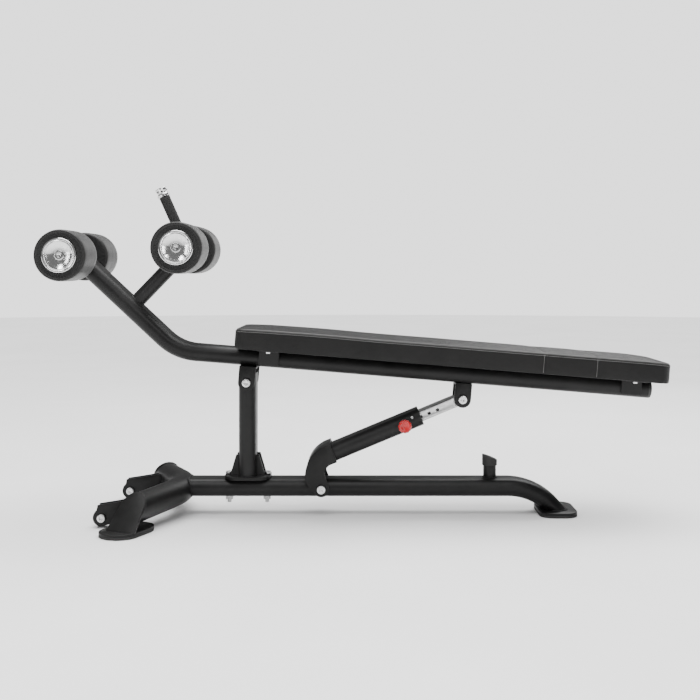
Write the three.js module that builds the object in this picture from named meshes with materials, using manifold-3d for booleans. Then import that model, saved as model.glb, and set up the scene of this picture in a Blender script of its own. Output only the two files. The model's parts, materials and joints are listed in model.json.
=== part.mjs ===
// Adjustable decline bench with leg rollers. Millimetres, +Z up.
// +X runs to the head end of the pad, +Y to the right hand of a person lying on it.
// The origin is on the floor, under the middle of the bench.
import * as THREE from "three";
import { mergeVertices } from "three/addons/utils/BufferGeometryUtils.js";
import Module from "manifold-3d";

const wasm = await Module();
wasm.setup();

const DEG = Math.PI / 180;

// ---- Driving dimensions ----

// Flat oval frame tube, its wide side across the bench.
const tubeWidth = 100;
const tubeHeight = 50;
const tubeWall = 3;

// Clearances.
const seatGap = 0.3; // between pieces that touch, are pressed together or are welded
const turnGap = 0.4; // radial play of a pin in its bush
const slideGap = 0.5; // play of the strut's inner tube in its guide, each side
const sideGap = 2; // between a swinging plate and the tube beside it
const openPivotPlay = 8; // radial room of the strut's foot bolt in the base tube

// Base frame.
const baseAxisZ = 77.5;
const frontX = -513; // middle of the front cross tube
const legRadius = 39;
const legAxisZ = 73;
const rearBendX = 436; // where the base tube starts to bend down
const rearBendRadius = 180;
const rearFootX = 578;
const legSweep = 24 * DEG; // each front leg, forward of straight across
const legDroop = 2.2 * DEG; // and down
const legBendRadius = 210;
const legTopReach = 221; // Y of the slanted end plate at the top of the leg
const endPlateSlope = 48.5 * DEG;
const endPlateFoot = 92; // width where it meets the foot plate
const endPlateThick = 6;
const footPlateThick = 6;
const footRubberThick = 8;
const rearFootLength = 110;
const rearFootWidth = 166;
const frontFootWidth = 110;
const frontFootLength = 166;
const frontFootRadius = 50;
const frontFootY = 252;
const frontFootX = -619;

// Upright post and main pivot.
const mainPivotX = -319;
const mainPivotZ = 384;
const flangeLength = 133;
const flangeWidth = 118;
const flangeThick = 9;
const flangeBoltPitch = 110;
const flangeBoltRadius = 6;
const gussetHeight = 60;
const gussetReach = 24;
const gussetThick = 6;
const gussetSpread = 22;

// Pivots.
const pivotBoltRadius = 8;
const boltHeadRadius = 12;
const boltHeadThick = 8;
const socketRadius = 5.5;
const bushWall = 3;
const earWidth = 48;
const earThick = 6;
const pivotDrop = 47; // pivots below the underside of the seat tube

// Seat frame, measured along the seat tube from the main pivot and square to it.
const restDecline = 4.65 * DEG;
const tubeEndRun = 1156;
const armCornerRun = -210.6;
const armAngle = 38.45 * DEG;
const armBendRadius = 155;
const footAxleOnArm = 402.7; // from the corner, along the arm
const armOverrun = 34;
const kneeRun = 317.3; // knee axle from the foot axle, along the seat
const kneeRise = 46.9;
const branchAngle = 50.7 * DEG;
const branchWall = 3;
const capThick = 10;

// Handle on the knee axle.
const handleLean = 28.6 * DEG;
const handleLength = 194;
const handleRadius = 12.5;
const handleWall = 2.5;
const gripRadius = 15.5;
const gripStart = 46;
const handleCapLength = 27;
const handleCapRadius = 18;

// Leg rollers.
const rollerRadius = 72;
const rollerLength = 138;
const rollerEdge = 5;
const rollerPlay = 9; // from the arm to the inner face of a roller
const axleRadius = 12.5;
const hubInset = 3; // hub tube inside the arm's half height
const coreRadius = 19;
const discRadius = 48.5;
const discThick = 8;
const discRecess = 3;

// Pad.
const padStart = -38;
const padLength = 1232;
const padWidth = 295;
const padThick = 63;
const padCorner = 38;
const padEdge = 10;
const boardThick = 15;
const boardInset = 16;
const bracketRuns = [58, 1104];
const bracketWidth = 58;
const bracketReach = 230;
const bracketThick = 4;
const bracketDrop = 42;

// Telescopic strut.
const strutFootX = -104;
const strutTopRun = 625; // upper pivot from the main pivot, along the seat
const strutOffset = 80; // tube axis above the foot pivot
const mouthPlay = 2; // guide to upper clevis at the last hole
const outerLength = 278;
const innerWidth = 60;
const innerHeight = 30;
const innerWall = 2.5;
const innerCorner = 4;
const innerEnd = 14;
const innerTail = 32; // inner tube past its last hole
const pinDepth = 49.5; // pull pin from the mouth of the outer tube
const pinPositions = 5;
const holePitch = 26;
const holeRadius = 5;
const guideDepth = 28;
const guideLip = 3;
const footPlateRadius = 22;
const footPlateLip = 6; // bracket above the tube's top
const webThick = 5;

// Pull pin.
const pinRadius = 4.5;
const pinTravel = 8;
const pinCollarRadius = 7.2;
const pinCollarThick = 2;
const housingRadius = 12;
const housingWall = 3.5;
const housingReach = 26;
const housingCover = 3;
const knobRadius = 19.5;
const knobLength = 20;
const knobStand = 2;
const springLength = 7;
const springTurns = 3;
const wireRadius = 0.7;

// Stop post under the seat tube.
const stopX = 386;
const stopRadius = 19;
const stopWall = 3;
const stopCapRadius = 22;
const stopCapHeight = 24;
const stopCapGrip = 12;
const stopPlay = 5; // under the seat tube at its lowest

// Transport wheels.
const wheelRadius = 25;
const wheelWidth = 18;
const wheelX = -701;
const wheelY = 180;
const wheelLift = 3;
const wheelPlateThick = 5;
const wheelPlay = 1;
const wheelBoltRadius = 5;
const wheelHeadRadius = 11;
const wheelPlateRadius = 24;
const wheelPlateCorner = 63; // height of its front top corner
const wheelPlateTop = 80;

const coarse = 4; // steps in a quarter turn of a tube's rounding
const fine = 24; // sides of a round piece

// ---- Values that follow ----

const footTop = footPlateThick + footRubberThick + seatGap;
const baseTopZ = baseAxisZ + tubeHeight / 2;
const baseBottomZ = baseAxisZ - tubeHeight / 2;
const seatAxisH = pivotDrop + tubeHeight / 2;
const seatTopH = pivotDrop + tubeHeight;
const rollerSpan = tubeWidth + 2 * rollerPlay; // between the inner faces of a pair
const axleY = rollerSpan / 2 + rollerLength;
const hubTubeRadius = tubeHeight / 2 - hubInset;
const branchRadius = hubTubeRadius - 0.5;

const strutTop = new THREE.Vector2(
  mainPivotX + strutTopRun * Math.cos(restDecline),
  mainPivotZ - strutTopRun * Math.sin(restDecline),
);
const strutFoot = new THREE.Vector2(strutFootX, baseAxisZ);
const strutReach = strutTop.distanceTo(strutFoot);
const strutAlong = Math.sqrt(strutReach ** 2 - strutOffset ** 2);
const strutLine = Math.atan2(strutTop.y - strutFoot.y, strutTop.x - strutFoot.x);
const strutSlope = strutLine - Math.asin(strutOffset / strutReach);

// From the upper pivot down to the mouth of the outer tube, and to the pull pin.
const strutTravel = (pinPositions - 1) * holePitch;
const mouthRun = strutTravel + earWidth / 2 + mouthPlay + guideLip;
const pinRun = mouthRun + pinDepth;

// Tilt of the seat from rest to the last hole, from the triangle of the three pivots.
const mainPivot = new THREE.Vector2(mainPivotX, mainPivotZ);
const footArm = mainPivot.distanceTo(strutFoot);
const lowAlong = strutAlong - strutTravel;
const lowReach = Math.hypot(lowAlong, strutOffset);
const pivotAngle = (reach) =>
  Math.acos((footArm ** 2 + strutTopRun ** 2 - reach ** 2) / (2 * footArm * strutTopRun));
const lowTilt = pivotAngle(strutReach) - pivotAngle(lowReach);
const lowDecline = restDecline + lowTilt;

// ---- Solids ----

function solidOf(geometry) {
  const bare = geometry.index ? geometry.toNonIndexed() : geometry.clone();
  bare.deleteAttribute("normal");
  bare.deleteAttribute("uv");
  const merged = mergeVertices(bare, 1e-4);
  const mesh = new wasm.Mesh({
    numProp: 3,
    vertProperties: merged.attributes.position.array,
    triVerts: new Uint32Array(merged.index.array),
  });
  return new wasm.Manifold(mesh);
}

function geometryOf(solid) {
  const { vertProperties, triVerts } = solid.getMesh();
  const geometry = new THREE.BufferGeometry();
  geometry.setAttribute("position", new THREE.BufferAttribute(vertProperties, 3));
  geometry.setIndex(new THREE.BufferAttribute(triVerts, 1));
  geometry.computeVertexNormals();
  return geometry;
}

// Outline of a rectangle with round corners; a flat oval when the radius is half its height.
function roundedOutline(width, height, radius, steps = coarse) {
  const points = [];
  for (let corner = 0; corner < 4; corner++) {
    const cx = (width / 2 - radius) * (corner === 0 || corner === 3 ? 1 : -1);
    const cy = (height / 2 - radius) * (corner < 2 ? 1 : -1);
    for (let i = 0; i <= steps; i++) {
      const angle = ((corner + i / steps) * Math.PI) / 2;
      const point = new THREE.Vector2(cx + radius * Math.cos(angle), cy + radius * Math.sin(angle));
      if (!points.length || point.distanceTo(points.at(-1)) > 1e-6) points.push(point);
    }
  }
  if (points[0].distanceTo(points.at(-1)) < 1e-6) points.pop();
  return points;
}

const ovalOutline = (grow = 0) =>
  roundedOutline(tubeWidth + 2 * grow, tubeHeight + 2 * grow, tubeHeight / 2 + grow);

// A centreline with one station at each end of a straight stretch and several round a bend.
class Centreline extends THREE.Curve {
  constructor(stations, across) {
    super();
    this.stations = stations;
    this.across = across;
  }
  stationAt(u) {
    return this.stations[Math.round(u * (this.stations.length - 1))];
  }
  getPointAt(u) {
    return this.stationAt(u).at.clone();
  }
  computeFrenetFrames() {
    const tangents = this.stations.map((station) => station.along);
    const normals = tangents.map((along) => this.across(along));
    const binormals = tangents.map((along, i) => along.clone().cross(normals[i]));
    return { tangents, normals, binormals };
  }
}

const acrossBench = () => new THREE.Vector3(0, 1, 0);

function bentLine(corners, radius, across, stepAngle = 9 * DEG) {
  const stations = [];
  let along = corners[1].clone().sub(corners[0]).normalize();
  stations.push({ at: corners[0], along });
  for (let i = 1; i < corners.length - 1; i++) {
    const next = corners[i + 1].clone().sub(corners[i]).normalize();
    const turn = along.angleTo(next);
    const inward = next.clone().addScaledVector(along, -along.dot(next)).normalize();
    const start = corners[i].clone().addScaledVector(along, -radius * Math.tan(turn / 2));
    const centre = start.clone().addScaledVector(inward, radius);
    const steps = Math.ceil(turn / stepAngle);
    for (let k = 0; k <= steps; k++) {
      const angle = (turn * k) / steps;
      const at = centre
        .clone()
        .addScaledVector(inward, -radius * Math.cos(angle))
        .addScaledVector(along, radius * Math.sin(angle));
      const tangent = along
        .clone()
        .multiplyScalar(Math.cos(angle))
        .addScaledVector(inward, Math.sin(angle));
      stations.push({ at, along: tangent });
    }
    along = next;
  }
  stations.push({ at: corners.at(-1), along });
  return new Centreline(stations, across);
}

function sweep(outline, line, hole) {
  const shape = new THREE.Shape(outline);
  if (hole) shape.holes.push(new THREE.Path(hole));
  const steps = line.stations.length - 1;
  return solidOf(new THREE.ExtrudeGeometry(shape, { steps, extrudePath: line }));
}

// A plate lying level, its outline in X and Y.
function levelPlate(outline, zLow, thick) {
  const shape = new THREE.Shape(outline);
  const geometry = new THREE.ExtrudeGeometry(shape, { depth: thick, bevelEnabled: false });
  return solidOf(geometry.translate(0, 0, zLow));
}

// A plate standing along the bench, its outline in X and Z.
function sidePlate(shape, yLow, thick) {
  const settings = { depth: thick, bevelEnabled: false, curveSegments: 8 };
  const geometry = new THREE.ExtrudeGeometry(shape, settings);
  return solidOf(geometry.rotateX(Math.PI / 2).translate(0, yLow + thick, 0));
}

// A solid of revolution about Y; the profile lists [radius, y] from low to high y.
function turned(profile, sides = fine) {
  const points = profile.map(([radius, y]) => new THREE.Vector2(radius, y));
  return solidOf(new THREE.LatheGeometry(points, sides));
}

function ring(inner, outer, yLow, yHigh, sides = fine) {
  return turned([[inner, yLow], [outer, yLow], [outer, yHigh], [inner, yHigh], [inner, yLow]], sides);
}

function rod(radius, yLow, yHigh, sides = fine) {
  const geometry = new THREE.CylinderGeometry(radius, radius, yHigh - yLow, sides);
  return solidOf(geometry.translate(0, (yLow + yHigh) / 2, 0));
}

function box(xLow, xHigh, yHalf, zLow, zHigh) {
  const geometry = new THREE.BoxGeometry(xHigh - xLow, 2 * yHalf, zHigh - zLow);
  return solidOf(geometry.translate((xLow + xHigh) / 2, 0, (zLow + zHigh) / 2));
}

// A round bar or tube from one point to another in the plane of the bench.
function bar(radius, from, to, sides = fine) {
  const span = to.clone().sub(from);
  const geometry = new THREE.CylinderGeometry(radius, radius, span.length(), sides);
  const angle = Math.atan2(span.x, span.y) / DEG;
  const middle = from.clone().add(to).multiplyScalar(0.5);
  return solidOf(geometry.rotateX(Math.PI / 2)).rotate([0, angle, 0]).translate([middle.x, 0, middle.y]);
}

const mirrored = (solid) => solid.mirror([0, 1, 0]);

// A pivot bolt across the bench with a round socket head on each side.
function pivotBolt(faceY, radius = pivotBoltRadius, headRadius = boltHeadRadius) {
  const inner = faceY + seatGap;
  const outer = inner + boltHeadThick;
  const high = [[radius, inner], [headRadius, inner], [headRadius, outer], [0, outer]];
  const low = high.map(([r, y]) => [r, -y]).reverse();
  const socket = rod(socketRadius, -1, 1, 6).scale([1, boltHeadThick / 2, 1]);
  return turned([...low, ...high])
    .subtract(socket.translate([0, outer, 0]))
    .subtract(socket.translate([0, -outer, 0]));
}

// ---- Finishes ----

const finish = (color, roughness, metalness) => ({ color, roughness, metalness });
const finishes = {
  frame: finish(0x1b1b1c, 0.45, 0.2),
  rubber: finish(0x141414, 0.85, 0),
  plastic: finish(0x161617, 0.6, 0),
  zinc: finish(0xc9cac8, 0.3, 1),
  plated: finish(0xb4b6b8, 0.28, 1),
  aluminium: finish(0xd8d9da, 0.22, 1),
  brass: finish(0x9c7b3c, 0.4, 1),
  foam: finish(0x1a1a1b, 0.75, 0),
  vinyl: finish(0x17181a, 0.5, 0),
  plywood: finish(0xa98354, 0.8, 0),
  red: finish(0xc01622, 0.4, 0),
};

const bench = new THREE.Group();

function add(group, name, solid, look) {
  const mesh = new THREE.Mesh(geometryOf(solid), new THREE.MeshStandardMaterial(finishes[look]));
  mesh.name = name;
  group.add(mesh);
}

const sides = [["left", -1], ["right", 1]];
const onSide = (solid, side) => (side < 0 ? mirrored(solid) : solid);

// ---- Base frame ----

const legLevel = new THREE.Vector3(-Math.sin(legSweep), Math.cos(legSweep), 0);
const legCornerX = frontX + legBendRadius * (1 / Math.cos(legSweep) - 1);
const legTopRun = legTopReach / legLevel.y;
const legTopZ = legAxisZ - legTopRun * Math.tan(legDroop) + legRadius / Math.cos(legDroop);
const legRound = (grow) => roundedOutline(2 * (legRadius + grow), 2 * (legRadius + grow), legRadius + grow);

function crossTube(grow, wall) {
  const end = legLevel.clone().multiplyScalar(legTopRun + 3 * legRadius);
  const endZ = legAxisZ - end.length() * Math.tan(legDroop);
  const right = new THREE.Vector3(legCornerX + end.x, end.y, endZ);
  const left = right.clone().setY(-end.y);
  const corner = new THREE.Vector3(legCornerX, 0, legAxisZ);
  const squareToBend = new THREE.Vector3(Math.tan(legDroop), 0, -Math.sin(legSweep)).normalize();
  const line = bentLine([left, corner, right], legBendRadius, () => squareToBend.clone());
  return sweep(legRound(grow), line, wall && legRound(-wall));
}

// Everything past the slanted end of the right leg, moved out by a distance along the leg.
function beyondLeg(out) {
  const size = 12 * legRadius;
  const block = new THREE.BoxGeometry(size, size, size).translate(0, size / 2, 0);
  block.rotateX(Math.PI / 2 - endPlateSlope);
  block.translate(0, legTopRun + out, legTopZ).rotateZ(legSweep).translate(legCornerX, 0, 0);
  return solidOf(block);
}

function addFrontLegs(group) {
  const outside = beyondLeg(-seatGap);
  const tube = crossTube(0, tubeWall).subtract(outside).subtract(mirrored(outside));
  add(group, "front_cross_tube", tube, "frame");

  // The end plate in its own plane: round over the tube's top, straight down to its foot.
  const slope = endPlateThick / Math.sin(endPlateSlope);
  const stretch = 1 / Math.sin(endPlateSlope);
  const bottom = -(legTopZ - footTop + footPlateThick) * stretch;
  const profile = new THREE.Shape();
  profile.moveTo(-endPlateFoot / 2, bottom);
  profile.lineTo(endPlateFoot / 2, bottom);
  profile.lineTo(legRadius, -legRadius * stretch);
  profile.absellipse(0, -legRadius * stretch, legRadius, legRadius * stretch, 0, Math.PI, false);
  const settings = { depth: 3 * endPlateThick, bevelEnabled: false, curveSegments: 2 * coarse };
  const tongue = new THREE.ExtrudeGeometry(profile, settings);
  tongue.translate(0, 0, -1.5 * endPlateThick).rotateX(Math.PI - endPlateSlope);
  tongue.translate(0, legTopRun, legTopZ).rotateZ(legSweep).translate(legCornerX, 0, 0);
  const plate = solidOf(tongue)
    .intersect(beyondLeg(0))
    .subtract(beyondLeg(slope))
    .subtract(box(-2000, 0, 1000, -500, footTop));

  const outline = roundedOutline(frontFootWidth, frontFootLength, frontFootRadius);
  const onFoot = (solid) => solid.rotate([0, 0, legSweep / DEG]).translate([frontFootX, frontFootY, 0]);
  const foot = onFoot(levelPlate(outline, footRubberThick + seatGap, footPlateThick - seatGap));
  const rubber = onFoot(levelPlate(outline, 0, footRubberThick));
  for (const [name, side] of sides) {
    add(group, "front_end_plate_" + name, onSide(plate, side), "frame");
    add(group, "front_foot_plate_" + name, onSide(foot, side), "frame");
    add(group, "front_foot_pad_" + name, onSide(rubber, side), "rubber");
  }
}

function addBaseTube(group) {
  const turn = 62 * DEG;
  const start = new THREE.Vector3(frontX, 0, baseAxisZ);
  const tangent = rearBendRadius * Math.tan(turn / 2);
  const corner = new THREE.Vector3(rearBendX + tangent, 0, baseAxisZ);
  const down = new THREE.Vector3(Math.cos(turn), 0, -Math.sin(turn));
  const end = corner.clone().addScaledVector(down, tangent + 40);
  const line = bentLine([start, corner, end], rearBendRadius, acrossBench);
  const cross = crossTube(seatGap);
  let tube = sweep(ovalOutline(), line, ovalOutline(-tubeWall))
    .subtract(cross)
    .subtract(box(-2000, 2000, 500, -500, footTop));
  for (const end of [-1, 1]) {
    const x = mainPivotX + (end * flangeBoltPitch) / 2;
    const hole = rod(flangeBoltRadius + turnGap, -tubeHeight, tubeHeight, 12).rotate([90, 0, 0]);
    tube = tube.subtract(hole.translate([x, 0, baseAxisZ]));
  }
  const footHole = rod(pivotBoltRadius + openPivotPlay, -tubeWidth, tubeWidth);
  tube = tube.subtract(footHole.translate([strutFoot.x, 0, strutFoot.y]));
  add(group, "base_tube", tube, "frame");

  const outline = roundedOutline(rearFootLength, rearFootWidth, rearFootLength / 3);
  const plate = levelPlate(outline, footRubberThick + seatGap, footPlateThick - seatGap);
  add(group, "rear_foot_plate", plate.translate([rearFootX, 0, 0]), "frame");
  add(group, "rear_foot_pad", levelPlate(outline, 0, footRubberThick).translate([rearFootX, 0, 0]), "rubber");
}

function addPost(group) {
  const low = baseTopZ + seatGap + flangeThick + seatGap;
  const high = mainPivotZ + tubeHeight / 2;
  const turnedOval = (grow) => ovalOutline(grow).map((point) => new THREE.Vector2(point.y, point.x));
  const bore = rod(pivotBoltRadius + turnGap + bushWall + seatGap, -tubeWidth, tubeWidth);
  const post = levelPlate(turnedOval(0), low, high - low)
    .subtract(levelPlate(turnedOval(-tubeWall), low - 1, high - low + 2))
    .subtract(bore.translate([0, 0, mainPivotZ]));
  add(group, "upright_post", post.translate([mainPivotX, 0, 0]), "frame");

  const bushBore = pivotBoltRadius + turnGap;
  const bush = ring(bushBore, bushBore + bushWall, -tubeWidth / 2, tubeWidth / 2);
  add(group, "main_pivot_bush", bush.translate([mainPivotX, 0, mainPivotZ]), "brass");

  const flangeLow = baseTopZ + seatGap;
  const flangeTop = flangeLow + flangeThick;
  let flange = levelPlate(roundedOutline(flangeLength, flangeWidth, flangeWidth / 3), flangeLow, flangeThick);
  const face = tubeHeight / 2 + seatGap;
  const gusset = new THREE.Shape();
  gusset.moveTo(face, flangeTop - 1);
  gusset.lineTo(face + gussetReach, flangeTop - 1);
  gusset.lineTo(face + gussetReach, flangeTop + gussetThick);
  gusset.lineTo(face + gussetReach / 3, flangeTop + gussetHeight);
  gusset.lineTo(face, flangeTop + gussetHeight);
  const rib = sidePlate(gusset, -gussetThick / 2, gussetThick);
  for (const end of [-1, 1]) {
    const facing = end < 0 ? rib.mirror([1, 0, 0]) : rib;
    for (const side of [-1, 1]) flange = flange.add(facing.translate([0, side * gussetSpread, 0]));
    const hole = rod(flangeBoltRadius + turnGap, -tubeHeight, tubeHeight, 12).rotate([90, 0, 0]);
    flange = flange.subtract(hole.translate([(end * flangeBoltPitch) / 2, 0, flangeLow]));
  }
  add(group, "post_flange", flange.translate([mainPivotX, 0, 0]), "frame");

  // Through bolt with its head on the flange and its nut under the base tube.
  const headZ = flangeTop + seatGap;
  const nutZ = baseBottomZ - seatGap;
  const bolt = rod(flangeBoltRadius, nutZ - 22, headZ + 1, 20)
    .add(rod(boltHeadRadius, headZ, headZ + boltHeadThick, 6))
    .add(rod(boltHeadRadius + 2, nutZ - 2, nutZ, 20))
    .add(rod(boltHeadRadius, nutZ - 13, nutZ - 1, 6))
    .rotate([90, 0, 0]);
  for (const [name, end] of [["front", -1], ["rear", 1]]) {
    const x = mainPivotX + (end * flangeBoltPitch) / 2;
    add(group, "flange_bolt_" + name, bolt.translate([x, 0, 0]), "zinc");
  }
}

function addStop(group) {
  const run = stopX - mainPivotX;
  const underside = mainPivotZ - run * Math.tan(lowDecline) + pivotDrop / Math.cos(lowDecline);
  const capTop = underside - stopPlay / Math.cos(lowDecline);
  const postTop = capTop - stopCapHeight + stopCapGrip;
  const low = baseTopZ + seatGap;
  const post = ring(stopRadius - stopWall, stopRadius, low, postTop).rotate([90, 0, 0]);
  add(group, "stop_post", post.translate([stopX, 0, 0]), "frame");

  const over = stopCapRadius * Math.tan(lowDecline) + 5;
  const grip = stopRadius + seatGap;
  const block = new THREE.BoxGeometry(200, 200, 100).translate(0, 0, 50).rotateY(lowDecline);
  const cap = rod(stopCapRadius, capTop - stopCapHeight, capTop + over)
    .subtract(rod(grip, capTop - stopCapHeight - 1, postTop + seatGap))
    .rotate([90, 0, 0])
    .subtract(solidOf(block.translate(0, 0, capTop)));
  add(group, "stop_cap", cap.translate([stopX, 0, 0]), "rubber");
}

function addWheels(group) {
  const wheelZ = wheelRadius + wheelLift;
  const inside = wheelWidth / 2 + wheelPlay;
  const outside = inside + wheelPlateThick;
  const legX = legCornerX - wheelY * Math.tan(legSweep);
  const rootX = legX - legRadius / Math.cos(legSweep) + legRadius / 3;
  const webX = wheelX + wheelRadius + 2 * wheelPlay;
  const outline = new THREE.Shape();
  outline.absarc(wheelX, wheelZ, wheelPlateRadius, 2.2, 4.7, false);
  outline.lineTo(rootX, legAxisZ - legRadius);
  outline.lineTo(rootX, wheelPlateTop);
  outline.lineTo(wheelX - 11, wheelPlateCorner);
  const plate = sidePlate(outline, inside, wheelPlateThick);
  const web = box(webX, webX + wheelPlateThick, outside, wheelZ, wheelPlateCorner);
  const bore = rod(wheelBoltRadius + turnGap, -tubeWidth, tubeWidth, 12);
  const fork = plate
    .add(mirrored(plate))
    .add(web)
    .subtract(bore.translate([wheelX, 0, wheelZ]));
  const cross = crossTube(seatGap);
  const tread = 3;
  const profile = [
    [wheelBoltRadius + turnGap, -wheelWidth / 2],
    [wheelRadius - 1, -wheelWidth / 2],
    [wheelRadius, -wheelWidth / 2 + tread],
    [wheelRadius, wheelWidth / 2 - tread],
    [wheelRadius - 1, wheelWidth / 2],
    [wheelBoltRadius + turnGap, wheelWidth / 2],
    [wheelBoltRadius + turnGap, -wheelWidth / 2],
  ];
  const wheel = turned(profile);
  const bolt = pivotBolt(outside, wheelBoltRadius, wheelHeadRadius);
  for (const [name, side] of sides) {
    const bracket = fork.translate([0, side * wheelY, 0]).subtract(cross);
    add(group, "wheel_bracket_" + name, bracket, "frame");
    add(group, "wheel_bolt_" + name, bolt.translate([wheelX, side * wheelY, wheelZ]), "zinc");
    add(group, "transport_wheel_" + name, wheel.translate([wheelX, side * wheelY, wheelZ]), "plastic");
  }
}

// ---- Seat frame, in its own axes: X along the seat tube, Z square to it, main pivot at 0 ----

const armDirection = new THREE.Vector2(-Math.cos(armAngle), Math.sin(armAngle));
const armCorner = new THREE.Vector2(armCornerRun, seatAxisH);
const footAxle = armCorner.clone().addScaledVector(armDirection, footAxleOnArm);
const kneeAxle = footAxle.clone().add(new THREE.Vector2(kneeRun, kneeRise));

function seatTube(grow, wall) {
  const armEnd = footAxle.clone().addScaledVector(armDirection, armOverrun);
  const corners = [
    new THREE.Vector3(armEnd.x, 0, armEnd.y),
    new THREE.Vector3(armCorner.x, 0, armCorner.y),
    new THREE.Vector3(tubeEndRun, 0, seatAxisH),
  ];
  const line = bentLine(corners, armBendRadius, acrossBench);
  return sweep(ovalOutline(grow), line, wall && ovalOutline(-wall));
}

// Closed end cap with a plug inside the tube; its mouth is at x = 0 and it points to +X.
function tubeCap() {
  const bulge = { depth: capThick - 4, bevelThickness: 4, bevelSize: 4, bevelOffset: -4, bevelSegments: 2 };
  const face = new THREE.ExtrudeGeometry(new THREE.Shape(ovalOutline()), { ...bulge, steps: 1 });
  face.translate(0, 0, seatGap).rotateX(Math.PI / 2).rotateZ(Math.PI / 2);
  const plugDepth = 10;
  const plug = new THREE.ExtrudeGeometry(new THREE.Shape(ovalOutline(-tubeWall - seatGap)), {
    depth: plugDepth + 2,
    bevelEnabled: false,
  });
  plug.translate(0, 0, -plugDepth).rotateX(Math.PI / 2).rotateZ(Math.PI / 2);
  const keep = box(seatGap, 10 * capThick, tubeWidth, -tubeHeight, tubeHeight);
  return solidOf(face).intersect(keep).add(solidOf(plug));
}

function addSeatTube(group) {
  const hubHole = rod(hubTubeRadius + seatGap, -tubeWidth, tubeWidth);
  const tube = seatTube(0, tubeWall).subtract(hubHole.translate([footAxle.x, 0, footAxle.y]));
  add(group, "seat_tube", tube, "frame");
  add(group, "seat_tube_cap", tubeCap().translate([tubeEndRun, 0, seatAxisH]), "plastic");
  const armEnd = footAxle.clone().addScaledVector(armDirection, armOverrun);
  const armCap = tubeCap().rotate([0, -(180 - armAngle / DEG), 0]);
  add(group, "arm_cap", armCap.translate([armEnd.x, 0, armEnd.y]), "plastic");
}

// An upturned U under the seat tube with a pivot hole through both ears.
function clevis(inside, thick) {
  const top = pivotDrop - seatGap;
  const outline = new THREE.Shape();
  outline.moveTo(earWidth / 2, top);
  outline.lineTo(-earWidth / 2, top);
  outline.absarc(0, 0, earWidth / 2, Math.PI, 2 * Math.PI, false);
  const ear = sidePlate(outline, inside, thick);
  return ear
    .add(mirrored(ear))
    .add(box(-earWidth / 2, earWidth / 2, inside + thick / 2, top - thick, top))
    .subtract(rod(pivotBoltRadius + turnGap, -tubeWidth, tubeWidth));
}

function addClevises(group) {
  const mainInside = tubeWidth / 2 + sideGap;
  add(group, "main_clevis", clevis(mainInside, earThick), "frame");
  add(group, "main_pivot_bolt", pivotBolt(mainInside + earThick), "zinc");
  const strutInside = innerWidth / 2 + sideGap;
  const at = [strutTopRun, 0, 0];
  add(group, "strut_clevis", clevis(strutInside, earThick).translate(at), "frame");
  add(group, "strut_top_bolt", pivotBolt(strutInside + earThick).translate(at), "zinc");
}

function addPad(group) {
  const webLow = seatTopH - bracketDrop;
  const low = seatTopH + seatGap;
  const webInside = tubeWidth / 2 + seatGap;
  for (const [index, name] of ["front", "rear"].entries()) {
    const x = bracketRuns[index];
    const strap = box(x - bracketWidth / 2, x + bracketWidth / 2, bracketReach / 2, low, low + bracketThick);
    const outer = box(x - bracketWidth / 2, x + bracketWidth / 2, webInside + bracketThick, webLow, low + 1);
    const inner = box(x - bracketWidth, x + bracketWidth, webInside, webLow - 1, low);
    add(group, "pad_bracket_" + name, outer.subtract(inner).add(strap), "frame");
  }

  const padLow = low + bracketThick + seatGap;
  const middle = padStart + padLength / 2;
  const board = (grow) => {
    const inset = 2 * (boardInset - grow);
    return roundedOutline(padLength - inset, padWidth - inset, padCorner / 2);
  };
  add(group, "pad_board", levelPlate(board(0), padLow, boardThick).translate([middle, 0, 0]), "plywood");

  const shape = new THREE.Shape(roundedOutline(padLength, padWidth, padCorner));
  const cushion = new THREE.ExtrudeGeometry(shape, {
    depth: padThick - padEdge,
    bevelThickness: padEdge,
    bevelSize: padEdge,
    bevelOffset: -padEdge,
    bevelSegments: 3,
  });
  const body = solidOf(cushion.translate(0, 0, padLow))
    .subtract(box(-padLength, padLength, padWidth, padLow - 2 * padEdge, padLow))
    .subtract(levelPlate(board(seatGap), padLow - 1, boardThick + 1 + seatGap));
  add(group, "pad", body.translate([middle, 0, 0]), "vinyl");
}

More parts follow.
